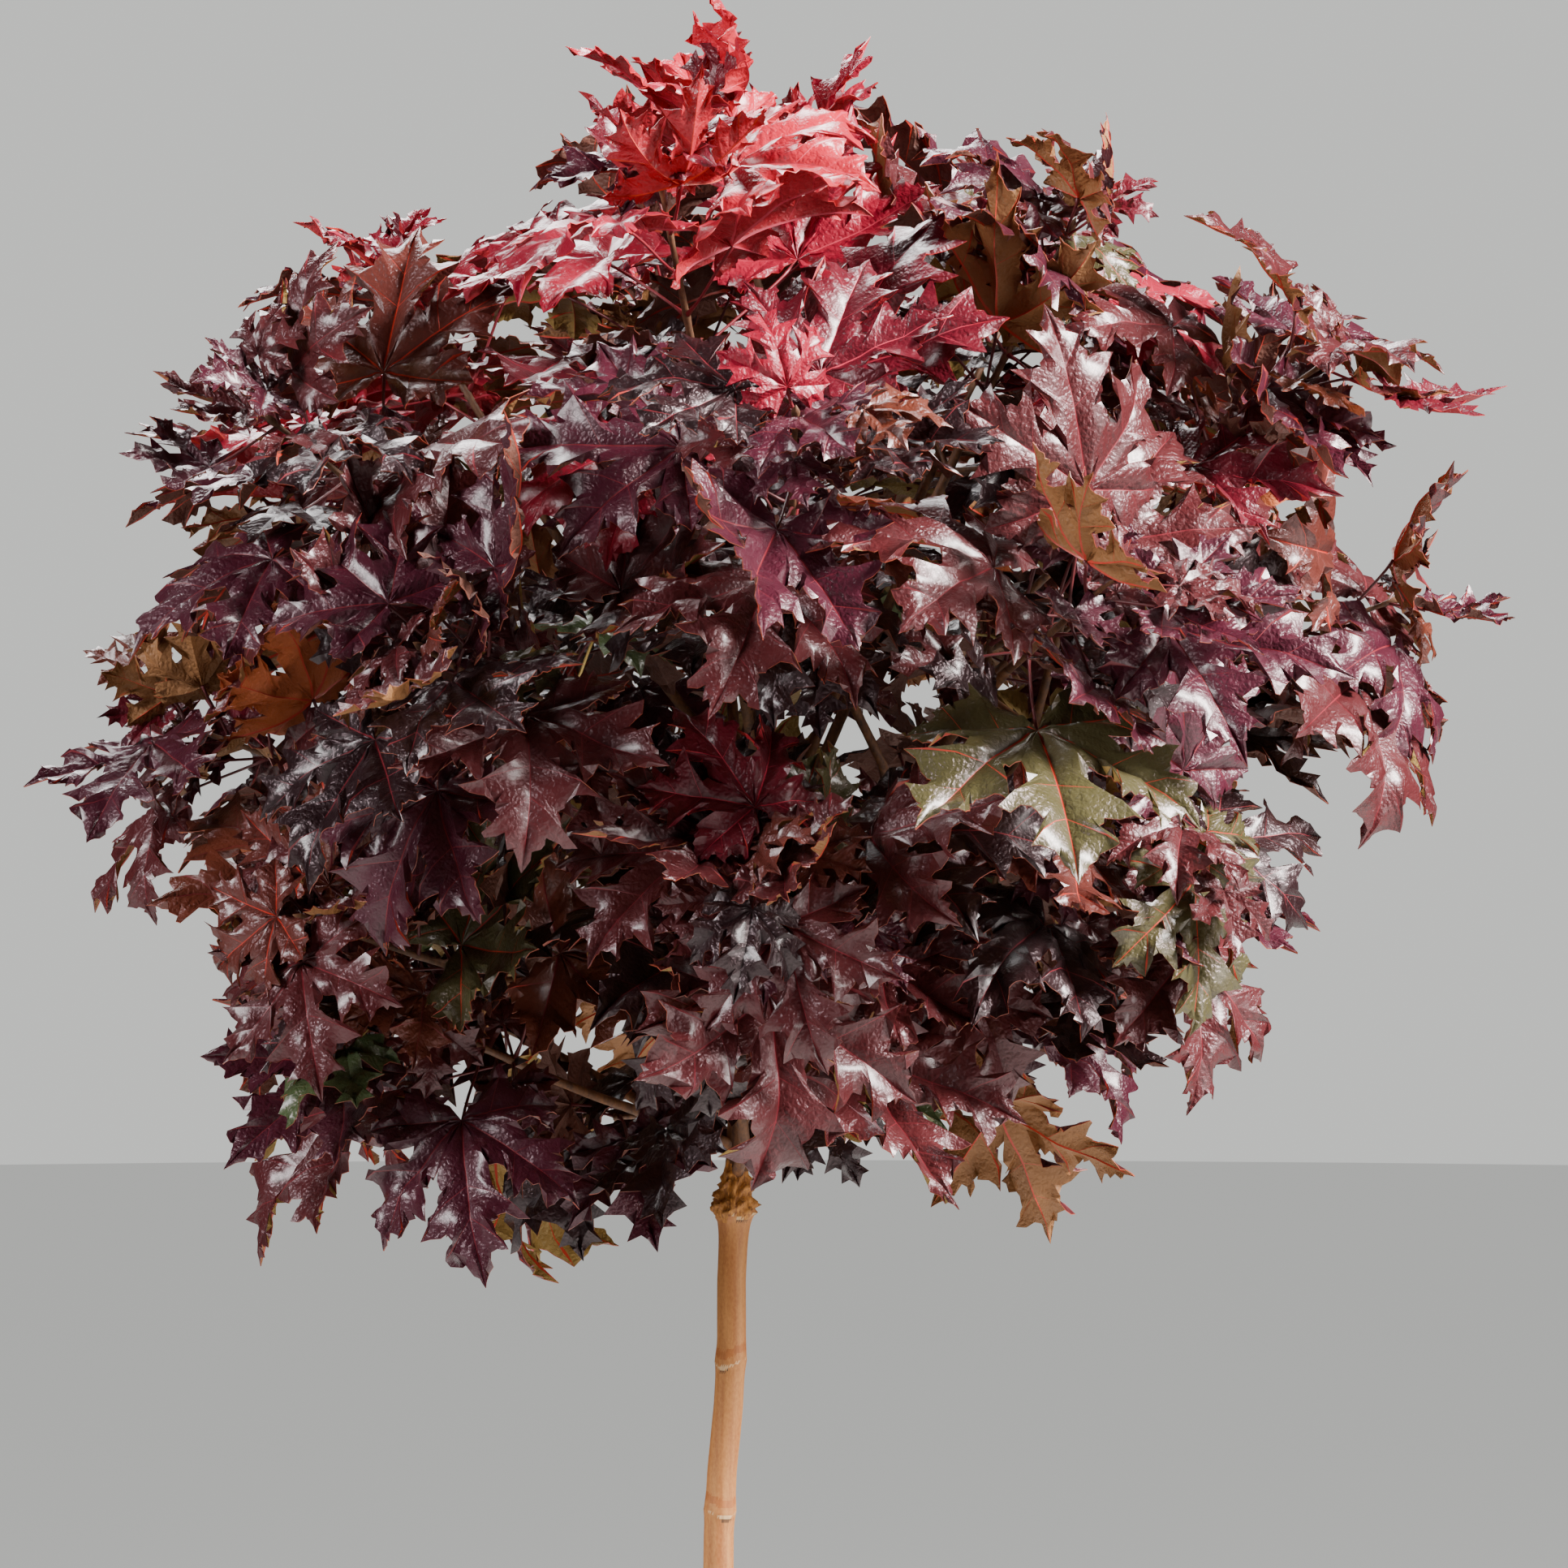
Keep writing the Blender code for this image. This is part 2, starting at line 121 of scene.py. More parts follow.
LAST_NODE = 0.97
BOUGH_RADIUS = 0.0050
SIDE_BOUGH_SHARE = 0.78
SKIRT_BOUGH_SHARE = 0.7
BOUGH_TIP_RADIUS = 0.0023
BOUGH_RINGS = 6
BOUGH_SPUR = 0.006
SIDE_BOUGH_STARTS = {"lower": 0.22, "upper": 0.48}
BOUGH_LEAVES_TRUNK_AT = {"skirt": (0.962, 0.0045), "middle": (0.990, 0.022), "crest": (1.110, 0.020)}
BOUGH_STEEPNESS = {"skirt": 20, "middle": 48, "crest": 55}
print(sum(tier["shoots"] for tier in TIERS.values()) + 1, "shoots in", len(TIERS), "tiers and a top")

# %% [markdown]
# ## The sizes of the leaves
# A leaf stands on a stalk almost as long as its blade. The outline is the plain one of the solids: the
# angle and reach of each lobe's tip and of each bay between two lobes. Leaves turn away from the crown's
# heart, and a little towards the bright side, as they do towards the sky.

# %% Sizes of the leaves
BLADE_LENGTH = 0.100
BLADE_THICKNESS = 0.0022
STALK_LENGTH = 0.078
STALK_RADIUS = 0.0013
LEAF_PAIRS = 5
LEAF_OUTLINE = ((0, 1.00), (24, 0.43), (53, 0.90), (82, 0.40), (118, 0.58))
NOTCH_REACH = 0.06
LOBE_DROOP = 0.16
TRIES = 14
CLEARANCE = 0.0009

UP = Vector((0, 0, 1))
CROWN_HEART = Vector((0.040, CROWN_BACK, 1.16))
BRIGHT_SIDE = Vector((0.08, -0.28, 0.05))
print("a blade is", 1000 * BLADE_LENGTH, "mm long on a stalk of", 1000 * STALK_LENGTH, "mm")

# %% [markdown]
# ## The lines of the limbs
# A limb is a line with a radius at each point. The trunk's line is upright at the ground and bows to its
# lean, and the leader carries it on inside the crown. Curve objects could hold these lines too, but plain
# points are easier to measure, and the leaves need them to find their room.

# %% Lines and directions
def smooth_step(x):
    """Rises from 0 to 1 as x does, starting and ending gently."""
    x = min(1.0, max(0.0, x))
    return x * x * (3 - 2 * x)


def facing(azimuth, lift):
    """A direction: azimuth 0 is towards -Y, 90 is +X, and lift is above the horizon, in degrees."""
    a, e = math.radians(azimuth), math.radians(lift)
    return Vector((math.sin(a) * math.cos(e), -math.cos(a) * math.cos(e), math.sin(e)))


def square_to(axis):
    """A direction square to an axis."""
    return axis.cross(UP if abs(axis.z) < 0.9 else Vector((0, 1, 0))).normalized()


def bow(start, end, leaving, arriving, count):
    """Points along a smooth curve from start to end, given its directions at both ends."""
    reach = (end - start).length / 3
    near = start + leaving.normalized() * reach
    far = end - arriving.normalized() * reach
    points = []
    for i in range(count):
        t = i / (count - 1)
        s = 1 - t
        points.append(start * s**3 + near * 3 * s * s * t + far * 3 * s * t * t + end * t**3)
    return points


def between(values, share):
    """The value at that share of a list of points or radii, counted by their number."""
    place = share * (len(values) - 1)
    i = min(int(place), len(values) - 2)
    return values[i] + (values[i + 1] - values[i]) * (place - i)


print("azimuth 90 and lift 0 point to", [round(c, 3) for c in facing(90, 0)])


# %% The trunk's line
def nearest_scar(z):
    """The number of the old leaf pair that is nearest to a height on the trunk."""
    return round((z - SCAR_START) / SCAR_SPACING)


def trunk_radius(z):
    """The trunk's radius at a height: its taper, root flare, leaf-scar swellings and graft."""
    up = min(1.0, z / GRAFT_HEIGHT)
    beyond = max(0.0, (z - GRAFT_HEIGHT) / (LEADER_TOP[2] - GRAFT_HEIGHT))
    near_scar = math.exp(-(((z - SCAR_START - nearest_scar(z) * SCAR_SPACING) / SCAR_SPREAD) ** 2))
    flare = max(0.0, 1 - z / FLARE_HEIGHT)
    if z < GRAFT_HEIGHT:
        radius = TRUNK_FOOT_RADIUS + (TRUNK_TOP_RADIUS - TRUNK_FOOT_RADIUS) * smooth_step(up)
        swelling = SCAR_SWELLING * near_scar * (z > LOWEST_SWELLING)
        radius += (FLARE_RADIUS - TRUNK_FOOT_RADIUS) * flare**2 + swelling
    else:
        radius = LEADER_RADIUS + (LEADER_TIP_RADIUS - LEADER_RADIUS) * beyond**0.8
    knob = math.exp(-(((z - GRAFT_HEIGHT) / GRAFT_LENGTH) ** 2))
    return radius + (GRAFT_RADIUS - LEADER_RADIUS) * knob * KNOB_SHARE


def trunk_line():
    """The centre line and radii of the trunk, with a small kink at each leaf scar."""
    points, radii = [], []
    top = Vector(LEADER_TOP)
    for i in range(TRUNK_RINGS):
        z = top.z * i / (TRUNK_RINGS - 1)
        up = min(1.0, z / GRAFT_HEIGHT)
        across = GRAFT_ACROSS * smooth_step(up) - TRUNK_BOW * math.sin(math.pi * up) * smooth_step(3 * up)
        across += SCAR_KINK * (-1) ** nearest_scar(z) * smooth_step(4 * up) * (z < GRAFT_HEIGHT)
        beyond = max(0.0, (z - GRAFT_HEIGHT) / (top.z - GRAFT_HEIGHT))
        place = Vector((across, 0, z)) + Vector((top.x - GRAFT_ACROSS, top.y, 0)) * smooth_step(beyond)
        radii.append(trunk_radius(z))
        points.append(place)
    points[0].x = points[1].x = 0.0
    points[-2] = top - facing(TOP_SHOOT["azimuth"], TOP_SHOOT["lift"]) * 2 * BOUGH_SPUR
    return points, radii


trunk, trunk_radii = trunk_line()
print("the trunk's top is", round(trunk[-1].z, 3), "m up")

# %% [markdown]
# ## Shoots and boughs
# Each tier is a ring of shoots at even turns, with a seeded wander in turn, reach and height. A bough is a
# smooth curve from where it leaves its parent to the foot of its shoot, as in the solids.

# %% Shoots and boughs
def shoots():
    """Every shoot of the crown: its name, tier, foot, tip and droop, worked out tier by tier."""
    found = []
    for tier, t in TIERS.items():
        for k in range(t["shoots"]):
            rng = random.Random(f"{tier}{k}")
            azimuth = t["first"] + 360 * k / t["shoots"] + rng.uniform(-7, 7)
            reach = t["reach"] * rng.uniform(0.92, 1.07)
            tip = Vector((t["across"], CROWN_BACK, t["height"] + rng.uniform(-0.018, 0.018)))
            tip += facing(azimuth, 0) * reach
            tip.z += t["tilt"] * (tip.x - t["across"])
            axis = facing(azimuth + rng.uniform(-8, 8), t["lift"])
            found.append(
                dict(name=f"{tier}_{k + 1}", tier=tier, number=k, azimuth=azimuth, axis=axis,
                     tip=tip, foot=tip - axis * SHOOT_LENGTH, droop=t["droop"])
            )
    axis = facing(TOP_SHOOT["azimuth"], TOP_SHOOT["lift"])
    foot = Vector(LEADER_TOP)
    found.append(
        dict(name="top", tier="top", number=0, azimuth=0, axis=axis, foot=foot,
             tip=foot + axis * SHOOT_LENGTH, droop=TOP_SHOOT["droop"])
    )
    return found


def bough_lines(trunk, trunk_radii, all_shoots):
    """The centre line and radii of each bough."""
    lines = {}
    order = {"middle": 0, "skirt": 1, "crest": 2, "lower": 3, "upper": 4}
    for shoot in sorted((s for s in all_shoots if s["tier"] in order), key=lambda s: order[s["tier"]]):
        tier, k = shoot["tier"], shoot["number"]
        if TIER_PARENTS[tier] == "trunk":
            lowest, rise = BOUGH_LEAVES_TRUNK_AT[tier]
            z = lowest + rise * (k % 3 if tier == "middle" else k)
            start = between(trunk, z / trunk[-1].z)
            leaving = facing(shoot["azimuth"], BOUGH_STEEPNESS[tier])
            radius = min(BOUGH_RADIUS, SIDE_BOUGH_SHARE * between(trunk_radii, z / trunk[-1].z))
            radius *= SKIRT_BOUGH_SHARE if tier == "skirt" else 1
        else:
            line, radii = lines[f"middle_{k + 1}"]
            share = SIDE_BOUGH_STARTS[tier]
            start = between(line, share)
            along = (between(line, share + 0.1) - start).normalized()
            leaving = (along + shoot["axis"] * 0.9).normalized()
            radius = SIDE_BOUGH_SHARE * between(radii, share)
        line = bow(start, shoot["foot"] - shoot["axis"] * BOUGH_SPUR, leaving, shoot["axis"], BOUGH_RINGS - 1)
        line.append(shoot["foot"])
        radii = [radius + (BOUGH_TIP_RADIUS - radius) * i / (BOUGH_RINGS - 1) for i in range(BOUGH_RINGS)]
        lines[shoot["name"]] = (line, radii)
    return lines


all_shoots = shoots()
boughs = bough_lines(trunk, trunk_radii, all_shoots)
print(len(boughs), "boughs and", len(all_shoots), "shoots")

# %% [markdown]
# ## Where the leaves stand
# A maple bears its leaves in opposite pairs, each pair turned a quarter from the last. The rule tries each
# leaf in a few seeded ways and keeps the first that touches no limb and no other leaf. Scattering copies
# would be quicker, but leaves would then stand inside each other. A plain five-lobed shape stands in for
# the leaf while it looks for room, so a formed leaf can still cross a neighbour.

# %% Plain shapes that look for room
def leaf_frame(stalk_end, midrib, outward):
    """The matrix that carries a leaf, drawn flat with its midrib along +X, to its place."""
    x = midrib.normalized()
    z = (outward - x * outward.dot(x)).normalized()
    y = z.cross(x)
    return Matrix.Translation(stalk_end) @ Matrix((x, y, z)).transposed().to_4x4()


def placed_blade(place, length, thickness):
    """A flattened sphere of one ring, pulled out to the lobes' tips and in to the bays between them."""
    half = [(math.radians(a), r) for a, r in LEAF_OUTLINE]
    ring = half + [(math.pi, NOTCH_REACH)] + [(-a, r) for a, r in reversed(half[1:])]
    blade = bmesh.new()
    bmesh.ops.create_uvsphere(blade, u_segments=len(ring), v_segments=2, radius=1)
    for v in blade.verts:
        if abs(v.co.z) > 0.5:
            v.co = (0, 0, math.copysign(thickness / 2, v.co.z))
    rim = [v for v in blade.verts if v.co.xy.length > 0.5]
    rim.sort(key=lambda v: math.atan2(v.co.y, v.co.x) % math.tau)
    for v, (angle, reach) in zip(rim, ring):
        sag = LOBE_DROOP * reach**2 * (1 if reach > 0.5 else 0.2)
        v.co = Vector((reach * math.cos(angle), reach * math.sin(angle), -sag)) * length
    bmesh.ops.transform(blade, matrix=place, verts=blade.verts)
    return blade


def twig_mesh(start, end, radius, tip_radius, sides=3):
    """A straight tapering twig or leaf stalk from start to end."""
    line = end - start
    turned = line.to_track_quat("Z", "Y").to_matrix().to_4x4()
    twig = bmesh.new()
    bmesh.ops.create_cone(
        twig, cap_ends=True, segments=sides, radius1=radius, radius2=tip_radius, depth=line.length
    )
    bmesh.ops.transform(twig, verts=twig.verts, matrix=Matrix.Translation((start + end) / 2) @ turned)
    return twig


def tree_of(shape):
    """A search tree of a shape, with the ball that holds it."""
    places = [v.co for v in shape.verts]
    middle = sum(places, Vector()) / len(places)
    return BVHTree.FromBMesh(shape), middle, max((p - middle).length for p in places)


def limb_space(line, radii):
    """The room a limb takes, a little fatter than it is, stretch by stretch."""
    fat = [r + CLEARANCE for r in radii]
    return [tree_of(twig_mesh(*line[i : i + 2], *fat[i : i + 2], 8)) for i in range(len(line) - 1)]


def meets(tree, others):
    """Whether a shape touches any of the others."""
    mine, middle, radius = tree
    for theirs, centre, reach in others:
        if (middle - centre).length < radius + reach and mine.overlap(theirs):
            return True
    return False


plain_blade = placed_blade(Matrix(), BLADE_LENGTH, BLADE_THICKNESS)
print("a plain blade has", len(plain_blade.faces), "faces")


# %% The rule for the leaves of a shoot
def leaf_places(shoot):
    """Yields the places for leaves on a shoot. The lowest pairs have the longest stalks and blades."""
    rng = random.Random(shoot["name"])
    axis = shoot["axis"]
    side = square_to(axis)
    quarter = rng.uniform(0, math.pi / 2)
    for pair in range(LEAF_PAIRS):
        share = (pair + 1) / LEAF_PAIRS
        youth = share**2
        for half in (0, 1):
            turn = quarter + pair * math.pi / 2 + half * math.pi + rng.uniform(-0.25, 0.25)
            yield dict(
                name=f"{shoot['name']} {pair} {half}",
                youth=youth,
                node=shoot["foot"].lerp(shoot["tip"], share * LAST_NODE),
                radial=Matrix.Rotation(turn, 3, axis) @ side,
                spread=math.radians(rng.uniform(58, 74) - 38 * youth),
                stalk=STALK_LENGTH * (1.05 - 0.78 * youth) * rng.uniform(0.85, 1.15),
                blade=BLADE_LENGTH * (1.08 - 0.5 * youth) * rng.uniform(0.88, 1.1),
            )


def aim_leaf(shoot, place, attempt):
    """One seeded try at where a stalk ends and how its blade lies. Later tries are a little smaller."""
    rng = random.Random(f"{place['name']} {attempt}")
    axis, droop, radial = shoot["axis"], shoot["droop"], place["radial"]
    shrink = 1 - 0.03 * attempt
    along = (axis * math.cos(place["spread"]) + radial * math.sin(place["spread"])).normalized()
    along += Vector([rng.uniform(-0.2, 0.2) for _ in range(3)]) * (1 + attempt / 3)
    end = place["node"] + along.normalized() * place["stalk"] * shrink
    midrib = along * 0.6 + radial * 0.55 - UP * (droop + rng.uniform(-0.25, 0.25))
    midrib += Vector([rng.uniform(-0.36, 0.36) for _ in range(3)]) * (1 + attempt / 3)
    outward = (end - CROWN_HEART).normalized() * 0.55 + axis * 0.2 + UP * (0.8 - 0.4 * droop)
    outward += BRIGHT_SIDE
    outward += Vector([rng.uniform(-0.42, 0.42) for _ in range(3)]) - radial * max(0.0, -droop)
    return end, leaf_frame(end, midrib, outward), place["blade"] * shrink


def grow_leaves(shoot, places, limbs, grown, tries):
    """The leaves of one shoot that keep clear of the limbs and of every other leaf."""
    kept, mine, stalks = [], [], []
    others = limbs + grown
    wide = STALK_RADIUS + CLEARANCE
    for place in places:
        node = place["node"]
        for attempt in range(tries):
            end, leaf_matrix, length = aim_leaf(shoot, place, attempt)
            blade = tree_of(placed_blade(leaf_matrix, length * 1.02, BLADE_THICKNESS + 2 * CLEARANCE))
            stalk = tree_of(twig_mesh(node, end, wide, wide))
            free_stalk = tree_of(twig_mesh(node.lerp(end, 0.15), end, wide, wide))
            if not (meets(blade, others + mine) or meets(stalk, others) or meets(free_stalk, mine)):
                kept.append(dict(place, end=end, matrix=leaf_matrix, length=length, shoot=shoot))
                mine += [blade, free_stalk]
                stalks.append(stalk)
                break
    grown += mine + stalks
    return kept


print("a shoot has", len(list(leaf_places(all_shoots[0]))), "places for leaves")


# %% Grow the outer leaves
limbs = limb_space(trunk, trunk_radii)
for line, radii in boughs.values():
    limbs += limb_space(line, radii)
for shoot in all_shoots:
    shoot["stem_space"] = tree_of(
        twig_mesh(
            shoot["foot"] + shoot["axis"] * 2 * CLEARANCE, shoot["tip"],
            SHOOT_RADIUS + CLEARANCE, SHOOT_TIP_RADIUS + CLEARANCE,
        )
    )
grown, leaves = [], []
for shoot in all_shoots:
    other_stems = [s["stem_space"] for s in all_shoots if s is not shoot]
    leaves += grow_leaves(shoot, leaf_places(shoot), limbs + other_stems, grown, TRIES)
print(len(leaves), "outer leaves")

# %% [markdown]
# ## Finer twigs inside the crown
# Behind the outer leaves the boughs carry short spurs with smaller leaves, most of them in a near-black
# purple that is painted shade. They darken the crown's heart and stay inside the crown, because they start
# well inside and are short. A dark ball would fill it with fewer faces, but it would show through every gap.

# %% Grow the inner leaves
SPUR_SHARES = {tier: (0.30,) if tier == "skirt" else (0.45, 0.75) for tier in TIERS}
SPUR_LENGTH = 0.030
SPUR_RADIUS = 0.0013
INNER_BLADE = 0.070
INNER_STALK = 0.050
INNER_TRIES = 8


def spur_places(shoot, line):
    """Yields short side twigs of a bough in opposite pairs, with the random draws for their leaves."""
    rng = random.Random(f"spur {shoot['name']}")
    for number, share in enumerate(SPUR_SHARES[shoot["tier"]]):
        node = between(line, share)
        axis = (between(line, min(1, share + 0.1)) - between(line, share - 0.1)).normalized()
        side = square_to(axis)
        for half in (0, 1):
            radial = Matrix.Rotation(number * 1.57 + half * math.pi + rng.uniform(-0.4, 0.4), 3, axis) @ side
            tip = node + (axis * 0.6 + radial).normalized() * SPUR_LENGTH * rng.uniform(0.7, 1.2)
            yield rng, f"spur {shoot['name']} {number} {half}", node, tip


def spur_leaves(rng, name, tip, axis):
    """Yields the places of the two leaves at a spur's tip."""
    side = axis.cross(UP).normalized()
    for half in (0, 1):
        radial = Matrix.Rotation(half * math.pi + rng.uniform(-0.5, 0.5), 3, axis) @ side
        yield dict(
            name=f"{name} {half}", youth=0.0, node=tip, radial=radial, spread=math.radians(55),
            stalk=INNER_STALK * rng.uniform(0.7, 1.2), blade=INNER_BLADE * rng.uniform(0.8, 1.15),
        )


spurs, inner = [], []
for shoot in all_shoots[:-1]:
    for rng, name, node, tip in spur_places(shoot, boughs[shoot["name"]][0]):
        axis = (tip - node).normalized()
        spur_shoot = dict(shoot, axis=axis, droop=0.35)
        found = grow_leaves(spur_shoot, list(spur_leaves(rng, name, tip, axis)), limbs, grown, INNER_TRIES)
        if found:
            spurs.append((node, tip, shoot))
            inner += found
print(len(spurs), "spurs with", len(inner), "inner leaves")

# %% [markdown]
# ## Small young leaves
# Each shoot ends in a pair of half-grown leaves, and more sit in the angles of its older pairs. Three late
# shoots near the top have only the tip pair. They fill the gaps where the photo shows small leaves, and
# only their blades look for room, because their short stalks stand close together at the nodes.

# %% Grow the small leaves of tips and axils
SMALL_BLADE = 0.050
SMALL_STALK = 0.026
SMALL_TRIES = 10
LATE_SHOOTS = ("top", "crest_4", "crest_5")


def small_places(shoot):
    """Yields places for small leaves: a pair at the shoot's tip and one in each free quarter of its nodes."""
    rng = random.Random(f"small {shoot['name']}")
    axis = shoot["axis"]
    side = square_to(axis)
    for half in (0, 1):
        radial = Matrix.Rotation(half * math.pi + rng.uniform(-0.8, 0.8), 3, axis) @ side
        yield dict(
            name=f"tip {shoot['name']} {half}", youth=1.0, node=shoot["tip"], radial=radial,
            spread=math.radians(30), stalk=SMALL_STALK * 0.6, blade=SMALL_BLADE * rng.uniform(0.7, 1.0),
        )
    if shoot["name"] in LATE_SHOOTS:
        return
    for number, place in enumerate(leaf_places(shoot)):
        radial = Matrix.Rotation(math.pi / 2 + rng.uniform(-0.5, 0.5), 3, axis) @ place["radial"]
        yield dict(
            place, name=f"axil {shoot['name']} {number}", radial=radial,
            spread=math.radians(rng.uniform(40, 75)), stalk=SMALL_STALK * rng.uniform(0.8, 1.9),
            blade=SMALL_BLADE * rng.uniform(0.75, 1.15),
        )


small = []
for shoot in all_shoots:
    for place in small_places(shoot):
        for attempt in range(SMALL_TRIES):
            end, leaf_matrix, length = aim_leaf(shoot, place, attempt)
            blade = tree_of(placed_blade(leaf_matrix, length, BLADE_THICKNESS))
            if not meets(blade, grown + limbs):
                small.append(dict(place, end=end, matrix=leaf_matrix, length=length, shoot=shoot))
                grown.append(blade)
                break
print(len(small), "small leaves at the tips and in the axils")

# %% [markdown]
# ## One leaf, drawn flat
# A Norway maple's leaf has five lobes on five main veins that meet at the stalk. Strong side veins leave
# each main vein and end in long-pointed teeth. An outline could be filled with faces in one step, but then
# nothing would follow the veins. Here each half of a lobe is one grid whose rows follow the side veins from
# the main vein to the margin, so the teeth, the veins and the puckers between them all fall on the grid's
# own lines.

# %% Outline of the lobes
MAIN_VEIN_HALF_WIDTH = 0.0060
SIDE_VEIN_HALF_WIDTH = 0.0022
# How deep the bays between lobes reach, by their angle from the midrib.
BAYS = {25: 0.37, 75: 0.31, 148: 0.13}
# Each lobe's angle and length, and the bays on its inner and outer side.
LOBES = ((0, 1.00, 25, 25), (50, 0.88, 25, 75), (103, 0.60, 75, 148))
# Rows up to the bay: where they leave the lobe's vein, and how far towards the bay they reach.
BAY_ROWS = ((0, 0), (0.07, 0.3), (0.13, 0.65), (0.19, 1.0))
# Margin points of a half lobe past its bay: how far along and off the lobe's vein they are, as shares of the
# lobe's length, where their row leaves that vein, and whether the row is a side vein that ends in a tooth.
SHOULDERED = (
    (0.47, 0.140, 0.30, False),
    (0.535, 0.190, 0.37, False),
    (0.67, 0.345, 0.43, True),
    (0.675, 0.170, 0.51, False),
    (0.74, 0.130, 0.56, False),
    (0.86, 0.205, 0.64, True),
    (0.855, 0.095, 0.76, False),
    (0.92, 0.042, 0.86, False),
)
INNER_BASAL = (
    (0.68, 0.275, 0.36, False),
    (0.80, 0.310, 0.46, True),
    (0.81, 0.175, 0.60, False),
    (0.90, 0.120, 0.74, False),
)
OUTER_BASAL = (
    (0.30, 0.250, 0.22, False),
    (0.52, 0.430, 0.28, True),
    (0.54, 0.290, 0.38, False),
    (0.66, 0.235, 0.48, False),
    (0.78, 0.270, 0.56, True),
    (0.79, 0.130, 0.70, False),
    (0.90, 0.080, 0.82, False),
)


def lobe_rows(angle, length, bay, margin, side):
    """The rows of a half lobe, from the stalk to its tip: each row's place on the main vein, its end on
    the margin, and whether it is a side vein."""
    a, b = math.radians(angle * side), math.radians(bay * side)
    ahead = Vector((math.cos(a), math.sin(a)))
    off = Vector((-math.sin(a), math.cos(a))) * (side if bay > angle else -side)
    bay_point = Vector((math.cos(b), math.sin(b))) * BAYS[bay]
    rows = [(ahead * length * leaves_at, bay_point * share, False) for leaves_at, share in BAY_ROWS]
    for along, out, leaves_at, vein in margin:
        end = (ahead * along + off * out) * length
        start = ahead * length * leaves_at
        if vein:
            nudge = ahead * SIDE_VEIN_HALF_WIDTH
            rows += [(start - nudge, end, True), (start + nudge, end, True)]
        else:
            rows.append((start, end, False))
    rows.append((ahead * length, ahead * length, False))
    return rows


print("five lobes with", 2 * (len(SHOULDERED) * 3 + len(INNER_BASAL) + len(OUTER_BASAL)), "margin points")

# %% The leaf's grids
FINE_COLUMNS = (0.0, None, 0.38, 0.72, 1.0)
PLAIN_COLUMNS = (0.0, 0.5, 1.0)
BLADE, VEIN, UNDERSIDE, MARGIN, UNDER_VEIN = 0, 1, 2, 3, 4
VEIN_RIB = 0.007
THICKNESS = 0.0045
# What is kept at each place of the flat leaf: how far off the vein it is, how much it puckers, how near the
# margin it is, its lobe, its share of the way round that lobe, and where it is across and along the vein.
LEAF_FACTS = ("fold", "pucker", "edge", "lobe", "way", "across", "along")


def half_lobe(shape, number, angle, length, bay, margin, side, columns):
    """Adds one grid for half a lobe. Its rows run out to the margin and its first column is the main vein."""
    fold, pucker, edge, lobe, way, across, along = (shape.verts.layers.float[n] for n in LEAF_FACTS)
    rows = lobe_rows(angle, length, bay, margin, side)
    if None not in columns:
        rows = [r for i, r in enumerate(rows) if not (r[2] and rows[i - 1][2])]
    last_row, last_column = len(rows) - 1, len(columns) - 1
    grid = bmesh.ops.create_grid(shape, x_segments=last_column, y_segments=last_row, size=0.5)
    axis = Vector((math.cos(math.radians(angle * side)), math.sin(math.radians(angle * side))))
    at = {}
    for v in grid["verts"]:
        r, c = round((v.co.y + 0.5) * last_row), round((v.co.x + 0.5) * last_column)
        start, end, vein = rows[r]
        off = abs((end - start).cross(axis)) + 1e-6
        u = columns[c]
        if u is None:
            taper = 1 - 0.75 * start.length / length
            u = min(0.3, MAIN_VEIN_HALF_WIDTH * taper / off)
        place = start.lerp(end, u)
        v.co = (*place, 0)
        v[fold] = abs(place.cross(axis))
        v[pucker] = 0.0 if vein or r in (0, last_row) else 4 * u * (1 - u) * (1 if r % 2 else 0.35)
        v[edge] = u * (r > 2)
        v[lobe] = number * side
        v[way] = r / last_row
        v[across] = u
        v[along] = start.length
        at[v] = (r, c)
    for face in {f for v in grid["verts"] for f in v.link_faces}:
        r = min(at[v][0] for v in face.verts)
        c = min(at[v][1] for v in face.verts)
        on_side_vein = rows[r][2] and rows[r + 1][2]
        main_vein = c == 0 and None in columns
        face.material_index = VEIN if main_vein or on_side_vein else BLADE


print(len(LEAF_FACTS), "facts are kept at each place of a leaf")


# %% The leaf's two sides
def add_underside(shape):
    """Gives the flat leaf its thickness, with a rib under each main vein, and sorts its faces into slots."""
    upper = set(shape.faces)
    copied = bmesh.ops.extrude_face_region(shape, geom=list(shape.faces), use_keep_orig=True)["geom"]
    lower = [f for f in copied if isinstance(f, bmesh.types.BMFace)]
    across = shape.verts.layers.float["across"]
    for v in copied:
        if isinstance(v, bmesh.types.BMVert):
            on_main_vein = v[across] == 0 and v.co.xy.length < 0.9
            v.co.z = -THICKNESS - VEIN_RIB * on_main_vein
    bmesh.ops.reverse_faces(shape, faces=lower)
    for face in shape.faces:
        if face in upper:
            continue
        if any(v.co.z > -THICKNESS / 2 for v in face.verts):
            face.material_index = MARGIN
        else:
            face.material_index = UNDER_VEIN if face.material_index == VEIN else UNDERSIDE


